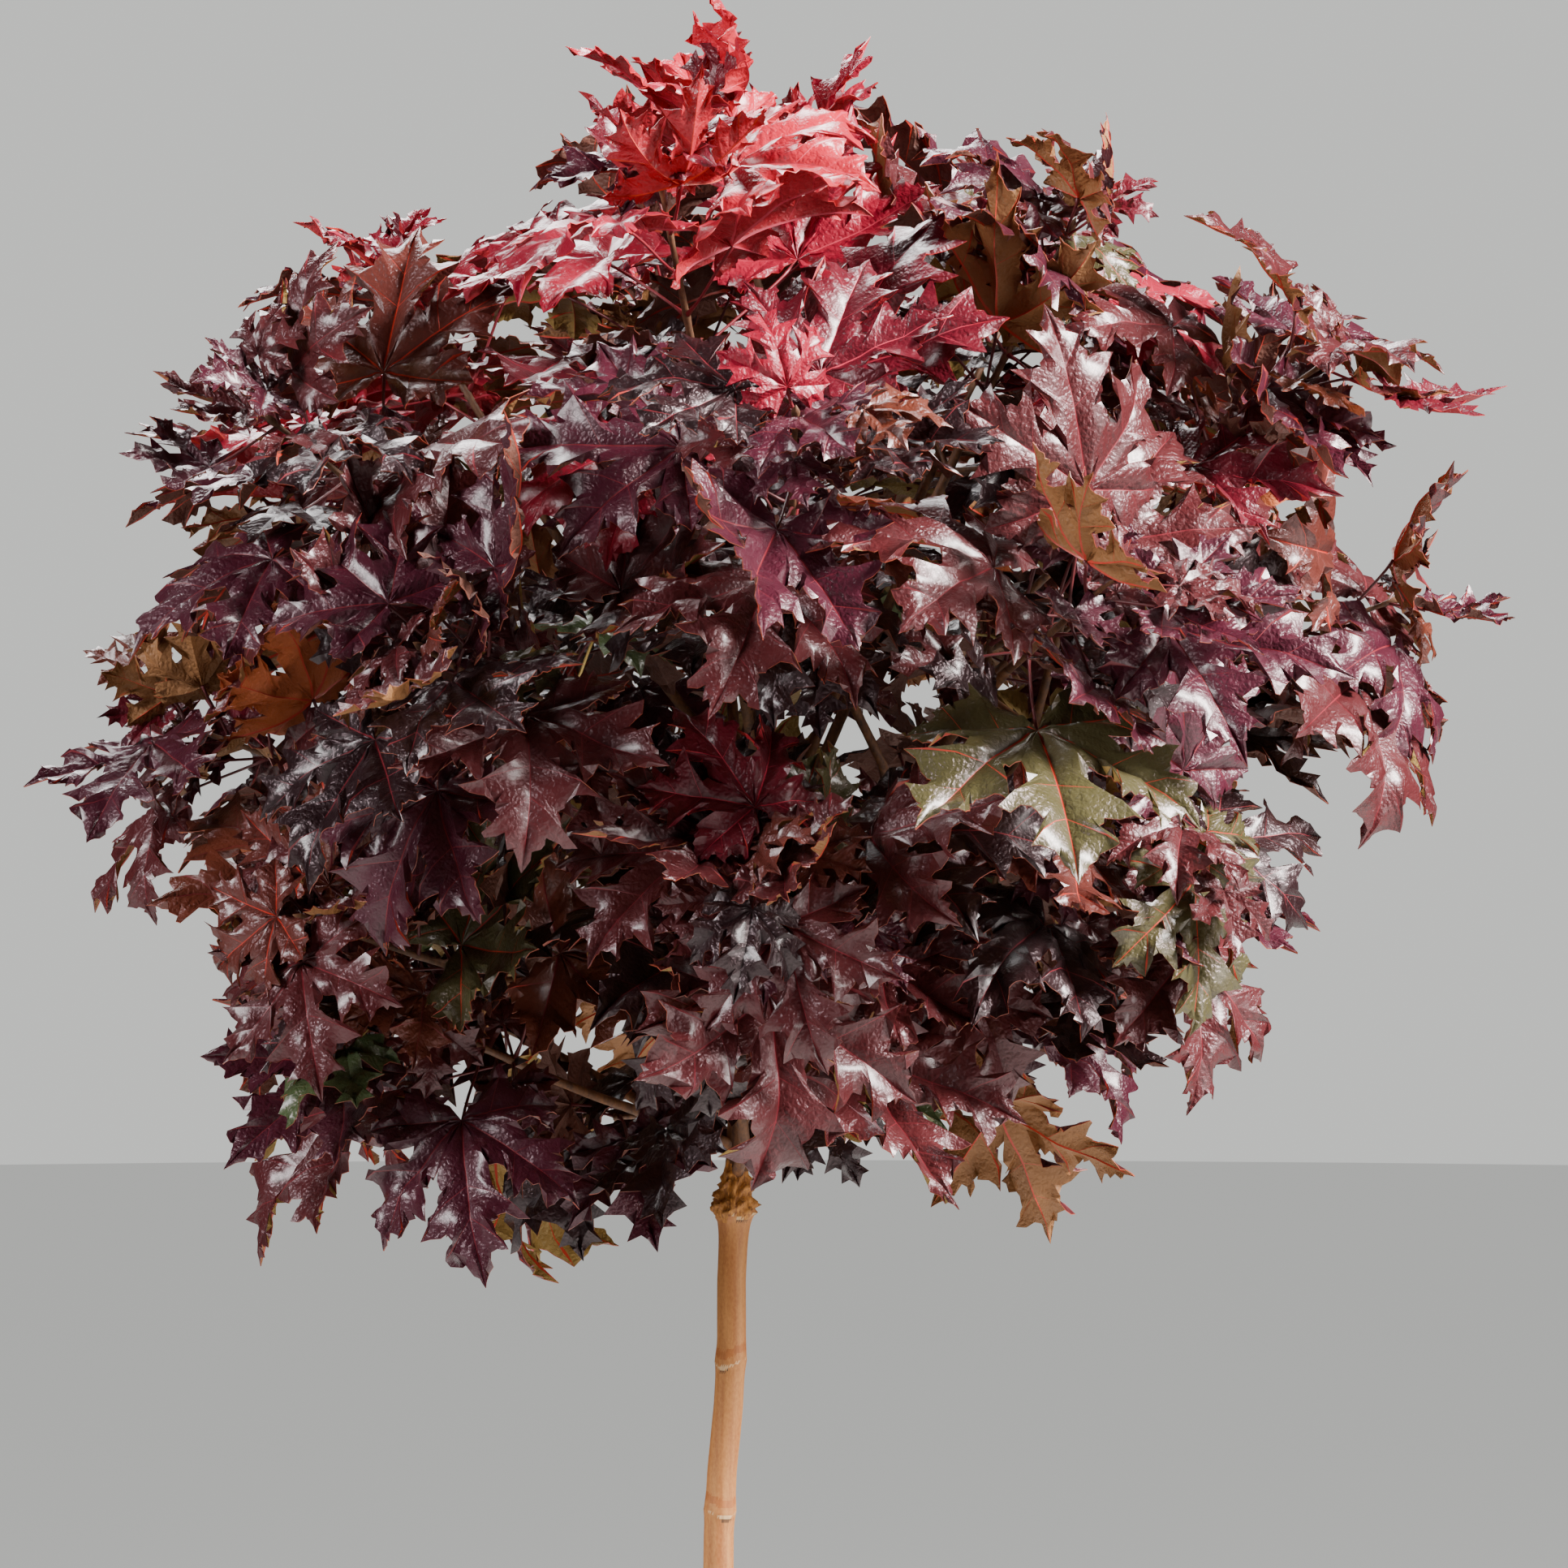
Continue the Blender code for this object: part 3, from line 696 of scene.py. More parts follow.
def flat_leaf(columns, margin_cuts):
    """A closed flat leaf one unit long as arrays: its places, the facts of each place, and its triangles."""
    shape = bmesh.new()
    for fact in LEAF_FACTS:
        shape.verts.layers.float.new(fact)
    for number, (angle, length, inner_bay, outer_bay) in enumerate(LOBES):
        halves = ((inner_bay, SHOULDERED if number < 2 else INNER_BASAL),
                  (outer_bay, SHOULDERED if number < 2 else OUTER_BASAL))
        for side in (1, -1):
            for bay, margin in halves[:1] if number == 0 else halves:
                half_lobe(shape, number, angle, length, bay, margin, side, columns)
    bmesh.ops.remove_doubles(shape, verts=shape.verts, dist=1e-5)
    rim = [e for e in shape.edges if e.is_boundary]
    if margin_cuts:
        bmesh.ops.subdivide_edges(shape, edges=rim, cuts=margin_cuts)
    bmesh.ops.triangulate(shape, faces=shape.faces)
    bmesh.ops.dissolve_degenerate(shape, edges=shape.edges, dist=1e-6)
    down = [f for f in shape.faces if f.normal.z < 0]
    bmesh.ops.reverse_faces(shape, faces=down)
    add_underside(shape)
    bmesh.ops.triangulate(shape, faces=shape.faces)
    bmesh.ops.recalc_face_normals(shape, faces=shape.faces)
    shape.verts.index_update()
    places = np.array([v.co[:] for v in shape.verts])
    layers = {n: shape.verts.layers.float[n] for n in LEAF_FACTS}
    facts = {n: np.array([v[layer] for v in shape.verts]) for n, layer in layers.items()}
    faces = np.array([[v.index for v in f.verts] for f in shape.faces])
    slots = np.array([f.material_index for f in shape.faces])
    shape.free()
    return dict(places=places, facts=facts, faces=faces, slots=slots)


fine_leaf = flat_leaf(FINE_COLUMNS, 2)
plain_leaf = flat_leaf(PLAIN_COLUMNS, 0)
print("a fine leaf has", len(fine_leaf["faces"]), "triangles, a plain one", len(plain_leaf["faces"]))

# %% [markdown]
# ## Leaves in their real forms
# No leaf stays flat. Lobes sag and curl, the two halves of each lobe fold up along the vein like a gutter,
# the skin puckers between the side veins and the margin ripples. Hundreds of modifiers would be slow, so
# numpy moves all places of a leaf at once, and each leaf draws its own amounts from its seed.

# %% Forming a leaf
CUPPED_SHARE = 0.22
NORMAL_STEP = 1e-3


def arc(x, z, curl):
    """Bends a profile downwards by an arc: curl is the angle for each unit of length."""
    curl = curl if abs(curl) > 1e-4 else 1e-4
    a = curl * x
    return np.sin(a) / curl + z * np.sin(a), -(1 - np.cos(a)) / curl + z * np.cos(a)


def leaf_form(name, size, erect):
    """A leaf's own amounts of sag, fold, pucker, ripple, curl and twist."""
    rng = random.Random(f"form {name}")
    lively = 1.25 if size < 0.08 else 1.0
    form = dict(
        sag=rng.uniform(0.03, 0.18) * (0.4 if erect else 1),
        lobe_sag=[rng.uniform(0.0, 0.5) for _ in range(5)],
        fold=rng.uniform(0.22, 0.62) * lively,
        pucker=rng.uniform(0.016, 0.030),
        ripple=rng.uniform(0.02, 0.055) * lively,
        gnaw=rng.uniform(0.008, 0.016),
        frill=rng.uniform(0.010, 0.024),
        crumple=[(rng.uniform(-16, 16), rng.uniform(-16, 16), rng.uniform(0, 6.3)) for _ in range(4)],
        waves=rng.uniform(9, 15),
        phase=rng.uniform(0, math.tau),
        curl=rng.uniform(-0.15, 0.75) * (0.3 if erect else 1),
        roll=rng.choice((-1, 1, 1)) * rng.uniform(0.1, 0.8),
        twist=rng.uniform(-0.5, 0.5),
    )
    if rng.random() < CUPPED_SHARE:
        form.update(curl=rng.uniform(-1.3, -0.6), roll=rng.uniform(-1.4, -0.6), twist=rng.uniform(-1.0, 1.0))
    return form


print("about", round(100 * CUPPED_SHARE), "leaves in a hundred are cupped upwards")


# %% Moving the places of a leaf
def frayed(x, y, facts, form):
    """How far each place of the margin is moved to make it gnawed and frilled."""
    rim, phase = facts["edge"] ** 4, form["phase"]
    return (
        form["gnaw"] * rim * np.sin(97 * x + 131 * y + phase),
        form["gnaw"] * rim * np.cos(113 * x - 89 * y + phase),
        form["frill"] * rim * np.sin(71 * x + 149 * y + 2 * phase),
    )


def formed(x, y, z, facts, form):
    """The places of a flat leaf after it takes its form."""
    reach = np.hypot(x, y)
    lobe_sag = np.array(form["lobe_sag"])[(facts["lobe"].round().astype(int) + 2) % 5]
    height = z - form["sag"] * reach**2 - lobe_sag * np.maximum(0, reach - 0.42) ** 2
    height += form["fold"] * facts["fold"] * (1 - 0.5 * facts["edge"] ** 2)
    height += form["pucker"] * facts["pucker"]
    wave = np.sin(form["waves"] * facts["way"] + 2.1 * facts["lobe"] + form["phase"])
    height += form["ripple"] * facts["edge"] ** 2 * wave
    for across, along, phase in form["crumple"]:
        height += 0.008 * np.minimum(1, 3 * reach) * np.sin(across * x + along * y + phase)
    x, height = arc(x, height, form["curl"])
    y, height = arc(y, height, form["roll"])
    cos, sin = np.cos(form["twist"] * x), np.sin(form["twist"] * x)
    return np.stack([x, y * cos - height * sin, y * sin + height * cos], 1)


def placed_leaf(template, leaf):
    """The world places of one leaf. Its thickness is laid along the normal of the formed upper side."""
    flat, facts = template["places"], template["facts"]
    form = leaf_form(leaf["name"], leaf["length"], leaf["shoot"]["droop"] < -0.5)
    x, y, z = flat.T
    fray_x, fray_y, fray_z = frayed(x, y, facts, form)
    x, y = x + fray_x, y + fray_y
    top = formed(x, y, fray_z, facts, form)
    along = formed(x + NORMAL_STEP, y, fray_z, facts, form) - top
    across = formed(x, y + NORMAL_STEP, fray_z, facts, form) - top
    normal = np.cross(along, across)
    normal /= np.linalg.norm(normal, axis=1)[:, None] + 1e-12
    places = (top + normal * z[:, None]) * leaf["length"]
    matrix = np.array(leaf["matrix"])
    return places @ matrix[:3, :3].T + matrix[:3, 3]


print("formed the first leaf:", placed_leaf(fine_leaf, leaves[0]).shape[0], "places")

# %% [markdown]
# ## Round tubes for stalks and limbs
# Stalks, twigs and boughs are round and bend. A curve with a bevel could make them, but not bark that is
# different at every place. So one cone is cut into rings once, and numpy lays those rings along each line.

# %% A tube that can follow any curve
def rolled_tube(sides, rings):
    """A straight closed tube as arrays: each place's turn and share of the length, and the triangles."""
    shape = bmesh.new()
    bmesh.ops.create_cone(shape, cap_ends=True, cap_tris=True, segments=sides, radius1=1, radius2=1, depth=1)
    rim = [e for e in shape.edges if abs(e.verts[0].co.z - e.verts[1].co.z) > 0.5]
    bmesh.ops.subdivide_edges(shape, edges=rim, cuts=rings - 2, use_grid_fill=True)
    bmesh.ops.triangulate(shape, faces=shape.faces)
    bmesh.ops.recalc_face_normals(shape, faces=shape.faces)
    shape.verts.index_update()
    turn = np.array([math.atan2(v.co.y, v.co.x) for v in shape.verts])
    share = np.array([v.co.z + 0.5 for v in shape.verts])
    middle = np.array([v.co.xy.length for v in shape.verts])
    faces = np.array([[v.index for v in f.verts] for f in shape.faces])
    shape.free()
    return dict(turn=turn, share=share, middle=middle, faces=faces)


def follow(tube, points, radius_at):
    """The places of a tube that follows a line. radius_at gives the radius for each share of the length.
    One fixed axis that the line doesn't run along keeps the tube from twisting."""
    line = np.array([p[:] for p in points])
    ahead = np.gradient(line, axis=0)
    ahead /= np.linalg.norm(ahead, axis=1)[:, None]
    lengths = np.concatenate([[0], np.cumsum(np.linalg.norm(np.diff(line, axis=0), axis=1))])
    lengths /= lengths[-1]
    centre = np.stack([np.interp(tube["share"], lengths, line[:, i]) for i in range(3)], 1)
    along = np.stack([np.interp(tube["share"], lengths, ahead[:, i]) for i in range(3)], 1)
    along /= np.linalg.norm(along, axis=1)[:, None]
    fixed = np.array((1.0, 0, 0)) if abs(ahead[0][0]) < 0.7 else np.array((0, 1.0, 0))
    first = np.cross(along, fixed)
    first /= np.linalg.norm(first, axis=1)[:, None]
    second = np.cross(along, first)
    radius = radius_at(tube["share"]) * tube["middle"]
    side = first * np.cos(tube["turn"])[:, None] + second * np.sin(tube["turn"])[:, None]
    return centre + side * radius[:, None]


stalk_tube = rolled_tube(6, 7)
twig_tube = rolled_tube(8, 26)
print("a stalk has", len(stalk_tube["faces"]), "triangles and a twig", len(twig_tube["faces"]))

# %% [markdown]
# ## Leaf colours
# The old leaves are a dark purple-brown and glossy, with dull crimson veins. New leaves at the top are
# crimson to bright red. Some undersides are orange-brown or olive, and a few leaves low in the shade stay
# green. A near-black purple is painted shade: it goes mostly on the inner leaves and the lower tiers, so the
# crown's heart reads dark. A painted image could hold all this, but plain colours keep their edge along
# every vein. Each leaf gets one suit of them, dealt out by the shares of its tier.

# %% Colours
def shade(red, green, blue):
    """A colour given in the 0 to 255 of a paint program, as Blender's linear values."""
    return [((c / 255 + 0.055) / 1.055) ** 2.4 if c > 10 else c / 3295 for c in (red, green, blue)] + [1]


TOP_SHADES = {
    "purple_brown": (78, 28, 31),
    "plum": (68, 20, 35),
    "umber": (90, 40, 33),
    # Painted shade: a near-black purple for leaves deep in the crown and low down, darker than every other
    # top.
    "deep_purple": (32, 12, 15),
    "bronze": (98, 46, 32),
    "wine": (94, 14, 30),
    "crimson": (150, 20, 46),
    "bright_red": (190, 30, 52),
    "bronze_green": (74, 70, 42),
    "dull_green": (72, 88, 54),
}
UNDER_SHADES = {
    "under_purple": (104, 62, 50),
    "under_bronze": (142, 96, 56),
    "under_orange": (182, 94, 52),
    "under_olive": (148, 118, 60),
    "under_red": (168, 36, 48),
    "under_green": (112, 124, 80),
}
VEIN_SHADES = {
    "dusky_vein": (124, 38, 48),
    "pink_vein": (196, 56, 80),
    "green_vein": (128, 120, 76),
    "ruddy_vein": (192, 58, 44),
}
MARGIN_SHADES = {"ruddy_margin": (150, 66, 44), "red_margin": (190, 40, 44)}
STALK_SHADES = {"red_stalk": (140, 36, 48), "dusky_stalk": (98, 38, 42), "olive_stalk": (140, 116, 60)}
print(len(TOP_SHADES) + len(UNDER_SHADES), "shades for the two sides of the leaves")

# %% Suits of colours
def suit(top, underside, vein="dusky_vein", under_vein="ruddy_vein", margin="ruddy_margin"):
    """The colours of one leaf, by the slots of the flat leaf."""
    return {BLADE: top, VEIN: vein, UNDERSIDE: underside, MARGIN: margin, UNDER_VEIN: under_vein}


SUITS = {
    "old": suit("purple_brown", "under_bronze"),
    "plum": suit("plum", "under_purple"),
    "umber": suit("umber", "under_bronze", "ruddy_vein"),
    # Painted shade: near-black tops for leaves that stand where the crown is in shadow.
    "shaded": suit("deep_purple", "under_purple"),
    "turning": suit("bronze", "under_orange"),
    "olive_backed": suit("purple_brown", "under_olive"),
    "wine": suit("wine", "under_red", "pink_vein", "ruddy_vein", "red_margin"),
    "young": suit("crimson", "under_red", "pink_vein", "pink_vein", "red_margin"),
    "newest": suit("bright_red", "under_red", "pink_vein", "pink_vein", "red_margin"),
    "greenish": suit("bronze_green", "under_olive", "ruddy_vein"),
    "green": suit("dull_green", "under_green", "green_vein", "green_vein"),
}
# The painted-shade suit goes mostly to the inner spurs, and more to the low tiers than to the high ones.
SUIT_SHARES = {
    "skirt": dict(old=4, plum=2, umber=1.5, shaded=3, turning=0.5, olive_backed=2, wine=0.5, greenish=1.4,
                  green=0.8),
    "lower": dict(old=5, plum=2.5, umber=1.5, shaded=3, turning=0.5, olive_backed=2, wine=0.4, greenish=1.0,
                  green=0.5),
    "middle": dict(old=5, plum=4, umber=1.5, shaded=2, turning=0.5, olive_backed=2, wine=0.3, greenish=0.4,
                   green=0.1),
    "upper": dict(old=5, plum=4, umber=1.5, shaded=1, turning=0.5, olive_backed=1, wine=0.7),
    "crest": dict(old=4, plum=3, turning=0.5, wine=1.5, young=0.5, greenish=0.7, olive_backed=1.5),
    "late": dict(plum=0.7, wine=3, young=3, newest=0.7),
    "top": dict(wine=1, young=4, newest=4),
    "spur": dict(shaded=8, plum=1, olive_backed=1, green=0.4),
    "tip": dict(wine=3, young=1, plum=2),
}


def suit_of(leaf):
    """The colour suit of a leaf, drawn by the shares of its tier. The tips' leaves are younger and redder."""
    rng = random.Random(f"suit {leaf['name']}")
    shares = dict(SUIT_SHARES["late" if leaf["shoot"]["name"] in LATE_SHOOTS[1:] else leaf["shoot"]["tier"]])
    kind = leaf["name"].split()[0]
    if kind in ("spur", "tip"):
        shares = SUIT_SHARES[kind]
    elif kind == "axil":
        shares["turning"] = 1.2
    elif leaf["youth"] > 0.9:
        shares["wine"] *= 2
    return SUITS[rng.choices(list(shares), weights=list(shares.values()))[0]]


print(len(SUITS), "suits of leaf colours")

# %% [markdown]
# ## Shared effects for skin and bark
# Up close a leaf is a net of tiny veins over puckered skin, with gloss in patches, and bark is long streaks
# with fine pores. Both are finer than any mesh here, so two node groups make them as bumps, and every
# material shares them with its own numbers.

# %% Nodes
def add_node(tree, kind, inputs=None, **settings):
    """A shader node with its settings. Each input gets a value, or a link where a socket is given."""
    node = tree.nodes.new(f"ShaderNode{kind}")
    for setting, value in settings.items():
        setattr(node, setting, value)
    for label, value in (inputs or {}).items():
        if isinstance(value, bpy.types.NodeSocket):
            tree.links.new(value, node.inputs[label])
        else:
            node.inputs[label].default_value = value
    return node


def effect_group(name, inputs, outputs):
    """A node group with named number inputs and the given outputs. Returns it with the sockets inside it."""
    group = bpy.data.node_groups.new(name, "ShaderNodeTree")
    for label, start in inputs.items():
        socket = group.interface.new_socket(label, in_out="INPUT", socket_type="NodeSocketFloat")
        socket.default_value = start
    for label in outputs:
        kind = "NodeSocketVector" if label == "Normal" else "NodeSocketFloat"
        group.interface.new_socket(label, in_out="OUTPUT", socket_type=kind)
    return group, group.nodes.new("NodeGroupInput").outputs, group.nodes.new("NodeGroupOutput").inputs


def object_noise(group, scale, detail, stretch=(1, 1, 1)):
    """A noise on the object's own coordinates, stretched along an axis where asked."""
    where = add_node(group, "TexCoord").outputs["Object"]
    mapped = add_node(group, "Mapping", {"Vector": where, "Scale": stretch}).outputs["Vector"]
    return add_node(group, "TexNoise", {"Vector": mapped, "Scale": scale, "Detail": detail}).outputs["Fac"]


def bumped(group, height, depth, strength=1.0, under=None):
    """The normal of a bump, laid over another normal where one is given."""
    inputs = {"Height": height, "Distance": depth, "Strength": strength}
    if under:
        inputs["Normal"] = under
    return add_node(group, "Bump", inputs).outputs["Normal"]


print("the node helpers are ready")


# %% The skin of a leaf
def rib_height(group):
    """Ribs along the side veins: bands up the leaf's own map, fading at the main vein and the margin."""
    where = add_node(group, "UVMap", uv_map="veins").outputs["UV"]
    across = add_node(group, "SeparateXYZ", {"Vector": where}).outputs["X"]
    wave = {"Vector": where, "Scale": 5.5, "Distortion": 2.5, "Detail": 2.0, "Detail Scale": 1.8}
    bands = add_node(group, "TexWave", wave, bands_direction="Y").outputs["Fac"]
    away = add_node(group, "Math", {0: across, 1: 0.5}, operation="PINGPONG").outputs["Value"]
    return add_node(group, "Math", {0: bands, 1: away}, operation="MULTIPLY").outputs["Value"]


def leaf_skin():
    """Patchy gloss, and bumps for puckers, ribs and the net of smallest veins, each laid over the last."""
    group, given, out = effect_group(
        "leaf skin",
        {"Net Scale": 330, "Net Depth": 0.0008, "Rib Depth": 0.0005, "Pucker Scale": 260,
         "Pucker Depth": 0.0009, "Dull": 0.42, "Glossy": 0.24, "Patch Scale": 55},
        ("Roughness", "Normal"),
    )
    patches = object_noise(group, given["Patch Scale"], 3)
    levels = {"Value": patches, "To Min": given["Dull"], "To Max": given["Glossy"]}
    gloss = add_node(group, "MapRange", levels)
    where = add_node(group, "TexCoord").outputs["Object"]
    cells = {"Vector": where, "Scale": given["Net Scale"]}
    net = add_node(group, "TexVoronoi", cells, feature="DISTANCE_TO_EDGE")
    puckers = bumped(group, object_noise(group, given["Pucker Scale"], 2), given["Pucker Depth"])
    ribs = bumped(group, rib_height(group), given["Rib Depth"], under=puckers)
    normal = bumped(group, net.outputs["Distance"], given["Net Depth"], 0.7, ribs)
    group.links.new(gloss.outputs["Result"], out["Roughness"])
    group.links.new(normal, out["Normal"])
    return group


skin_group = leaf_skin()
print("made the group", skin_group.name)

# %% The grain of bark
def bark_grain():
    """Long streaks up the stem with fine pores, as a mask for colour, with roughness and a bump."""
    group, given, out = effect_group(
        "bark grain",
        {"Streak Scale": 260, "Pore Scale": 900, "Depth": 0.0004, "Smooth": 0.45, "Rough": 0.75},
        ("Streaks", "Roughness", "Normal"),
    )
    streaks = object_noise(group, given["Streak Scale"], 4, (1, 1, 0.06))
    pores = object_noise(group, given["Pore Scale"], 2, (1, 1, 0.5))
    grain = add_node(group, "Mix", {"Factor": 0.35, "A": streaks, "B": pores}).outputs["Result"]
    contrast = add_node(group, "MapRange", {"Value": grain, "From Min": 0.35, "From Max": 0.65})
    rough = add_node(group, "MapRange", {"Value": grain, "To Min": given["Smooth"], "To Max": given["Rough"]})
    group.links.new(contrast.outputs["Result"], out["Streaks"])
    group.links.new(rough.outputs["Result"], out["Roughness"])
    group.links.new(bumped(group, grain, given["Depth"], 0.8), out["Normal"])
    return group


bark_group = bark_grain()
print("made the group", bark_group.name)

# %% [markdown]
# ## Materials
# The upper side of a leaf has a waxy coat over its colour, the underside is matt, and veins, margins and
# stalks are smooth. Bark runs between a dark and a light tone along its streaks. One material for each
# plain colour is simple to deal out by slot, and needs no picture.

# %% Leaf materials
GLOSSY = {"Dull": 0.50, "Glossy": 0.28}
MATT = {"Dull": 0.75, "Glossy": 0.5, "Net Depth": 0.0010}
VEINY = {"Dull": 0.5, "Glossy": 0.3, "Net Scale": 900, "Net Depth": 0.00005, "Rib Depth": 0,
         "Pucker Depth": 0}
WAXY = dict(Coat_Weight=0.55, Coat_Roughness=0.25, Specular_Tint=shade(255, 226, 234))


def finish(name, group, values, **shader):
    """A material with one of the shared groups behind its shader. Returns the material, shader and group."""
    material = bpy.data.materials.new(name)
    material.use_nodes = True
    tree = material.node_tree
    principled = tree.nodes["Principled BSDF"]
    effect = add_node(tree, "Group", values, node_tree=group)
    for label in ("Roughness", "Normal"):
        tree.links.new(effect.outputs[label], principled.inputs[label])
    for label, value in shader.items():
        principled.inputs[label.replace("_", " ")].default_value = value
    return material, principled, effect


leaf_materials = {}
for name, colour in TOP_SHADES.items():
    leaf_materials[name] = finish(name, skin_group, GLOSSY, Base_Color=shade(*colour), **WAXY)[0]
for name, colour in UNDER_SHADES.items():
    sheen = GLOSSY if name == "under_red" else MATT
    leaf_materials[name] = finish(name, skin_group, sheen, Base_Color=shade(*colour))[0]
for name, colour in {**VEIN_SHADES, **MARGIN_SHADES, **STALK_SHADES}.items():
    leaf_materials[name] = finish(name, skin_group, VEINY, Base_Color=shade(*colour))[0]
print(len(leaf_materials), "leaf materials")

# %% Bark materials
# Each bark is a dark tone, a light tone and what it changes in the grain.
BARKS = {
    "trunk_bark": ((164, 98, 50), (202, 140, 80), {"Depth": 0.0002, "Smooth": 0.4}),
    "bough_bark": ((70, 42, 28), (134, 88, 52), {"Depth": 0.0006}),
    "burr_bark": ((122, 66, 22), (208, 142, 66), {"Streak Scale": 700, "Depth": 0.001}),
    "scar_bark": ((196, 152, 106), (226, 192, 146), {"Streak Scale": 600}),
    "groove_bark": ((84, 56, 36), (128, 88, 56), {"Streak Scale": 600}),
    "band_bark": ((150, 84, 40), (190, 118, 62), {"Depth": 0.0002, "Smooth": 0.4}),
    "shoot_bark": ((78, 50, 36), (124, 84, 56), {"Streak Scale": 420}),
}
TAN, DARK, BURR, SCAR, GROOVE, BAND, SHOOT = range(len(BARKS))


def two_tone_bark(name, dark, light, values):
    """Bark whose streaks run from a dark colour to a light one."""
    material, principled, effect = finish(name, bark_group, values)
    tones = add_node(
        material.node_tree, "Mix", {"Factor": effect.outputs["Streaks"], 6: shade(*dark), 7: shade(*light)},
        data_type="RGBA",
    )
    material.node_tree.links.new(tones.outputs[2], principled.inputs["Base Color"])
    return material


barks = [two_tone_bark(name, *tones) for name, tones in BARKS.items()]
print(len(barks), "barks")

# %% [markdown]
# ## Joining the leaves tier by tier
# Hundreds of loose objects would be slow to handle, so the arrays of a tier's leaves are laid end to end
# and make one mesh. A piece for each tier keeps each under 200,000 triangles. The outer leaves carry more
# faces than a shape that repeats usually should, because each is seen large, and its teeth and puckers are
# what tell the kind.

# %% Making a piece
CREASE_ANGLE = 40


def mesh_piece(name, places, faces, slots, materials, vein_map=None):
    """A smooth object from arrays of places, triangles and their material slots."""
    mesh = bpy.data.meshes.new(name)
    mesh.from_pydata(places.tolist(), [], faces.tolist())
    for material in materials:
        mesh.materials.append(material)
    mesh.polygons.foreach_set("material_index", np.asarray(slots, dtype=np.int32))
    mesh.polygons.foreach_set("use_smooth", np.ones(len(faces), dtype=bool))
    if vein_map is not None:
        mesh.uv_layers.new(name="veins").data.foreach_set("uv", vein_map[faces.ravel()].ravel())
    mesh.update()
    piece = bpy.data.objects.new(name, mesh)
    bpy.context.scene.collection.objects.link(piece)
    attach(piece, "root")
    print(name, "has", len(faces), "triangles")
    return piece


def joined(parts):
    """Lays several arrays of places, faces and slots end to end."""
    counts = np.cumsum([0] + [len(places) for places, _, _ in parts])
    return (
        np.concatenate([places for places, _, _ in parts]),
        np.concatenate([faces + start for (_, faces, _), start in zip(parts, counts)]),
        np.concatenate([slots for _, _, slots in parts]),
    )


def in_tier(shoot, tier):
    """Whether a shoot's leaves and twigs go into a tier's pieces. The top's go with the crest's."""
    return shoot["tier"] == tier or (shoot["tier"] == "top" and tier == "crest")


def foliage_of(tier):
    """The names of the solids that a tier's pieces stand for."""
    return [f"foliage_{shoot['name']}" for shoot in all_shoots if in_tier(shoot, tier)]


# %% Leaves of every tier
LOW_TIERS = ("skirt", "lower", "middle")
STALK_OF_VEIN = {"pink_vein": "red_stalk", "green_vein": "olive_stalk"}
shade_names = list(leaf_materials)


def leaf_piece(name, some_leaves, template):
    """One piece of leaves, each in its own form and colour suit. Its map of the veins guides the ribs."""
    parts, maps = [], []
    for leaf in some_leaves:
        colours = suit_of(leaf)
        leaf["stalk_colour"] = STALK_OF_VEIN.get(colours[VEIN], "dusky_stalk")
        slots = np.array([shade_names.index(colours[s]) for s in sorted(colours)])[template["slots"]]
        parts.append((placed_leaf(template, leaf), template["faces"], slots))
        maps.append(np.stack([template["facts"]["across"], template["facts"]["along"]], 1))
    piece = mesh_piece(name, *joined(parts), leaf_materials.values(), np.concatenate(maps))
    piece.data.set_sharp_from_angle(angle=math.radians(CREASE_ANGLE))
    return piece


for tier in TIERS:
    piece = leaf_piece(f"leaves_{tier}", [f for f in leaves if in_tier(f["shoot"], tier)], fine_leaf)
    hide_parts(*foliage_of(tier))
leaf_piece("leaves_inner", inner, plain_leaf)
low_small = [f for f in small if f["shoot"]["tier"] in LOW_TIERS]
high_small = [f for f in small if f["shoot"]["tier"] not in LOW_TIERS]
leaf_piece("leaves_small_low", low_small, plain_leaf)
leaf_piece("leaves_small_high", high_small, plain_leaf)

# %% [markdown]
# ## Stalks and twigs
# Each stalk is thickest where it clasps the twig, leaves it outwards, then turns to meet the blade's base
# from behind. Shoots swell a little at each pair of leaves, and shoots and spurs end in a bud. They join by
# tier, as the leaves do.

# %% Stalks, shoots and spurs
STALK_THIN = 0.00085
STALK_FOOT = 0.0009
STALK_HEAD = 0.00025
UNDER_BLADE = 0.0009
INTO_BLADE = 0.001
NODE_SWELLING = 0.0005
BUD_FROM = 0.93
BUD_RADIUS = 0.0016
PAST_TIP = 1.06
SPUR_PAST_TIP = 1.15


def stalk_radius(share):
    """A stalk is thick at its foot, thin on its way, and a little thicker where it meets the blade."""
    foot = STALK_FOOT * np.exp(-((share / 0.05) ** 2))
    return STALK_THIN + foot + STALK_HEAD * np.exp(-(((1 - share) / 0.06) ** 2))


def stalk_curve(leaf):
    """The line of a stalk, from inside the twig to the underside of the blade's base."""
    midrib, normal = leaf["matrix"].col[0].xyz, leaf["matrix"].col[2].xyz
    start = leaf["node"]
    end = leaf["end"] - normal * UNDER_BLADE + midrib * INTO_BLADE
    straight = (end - start).normalized()
    return bow(start, end, straight + leaf["radial"] * 0.35 + UP * 0.15, straight + midrib * 0.5, 7)


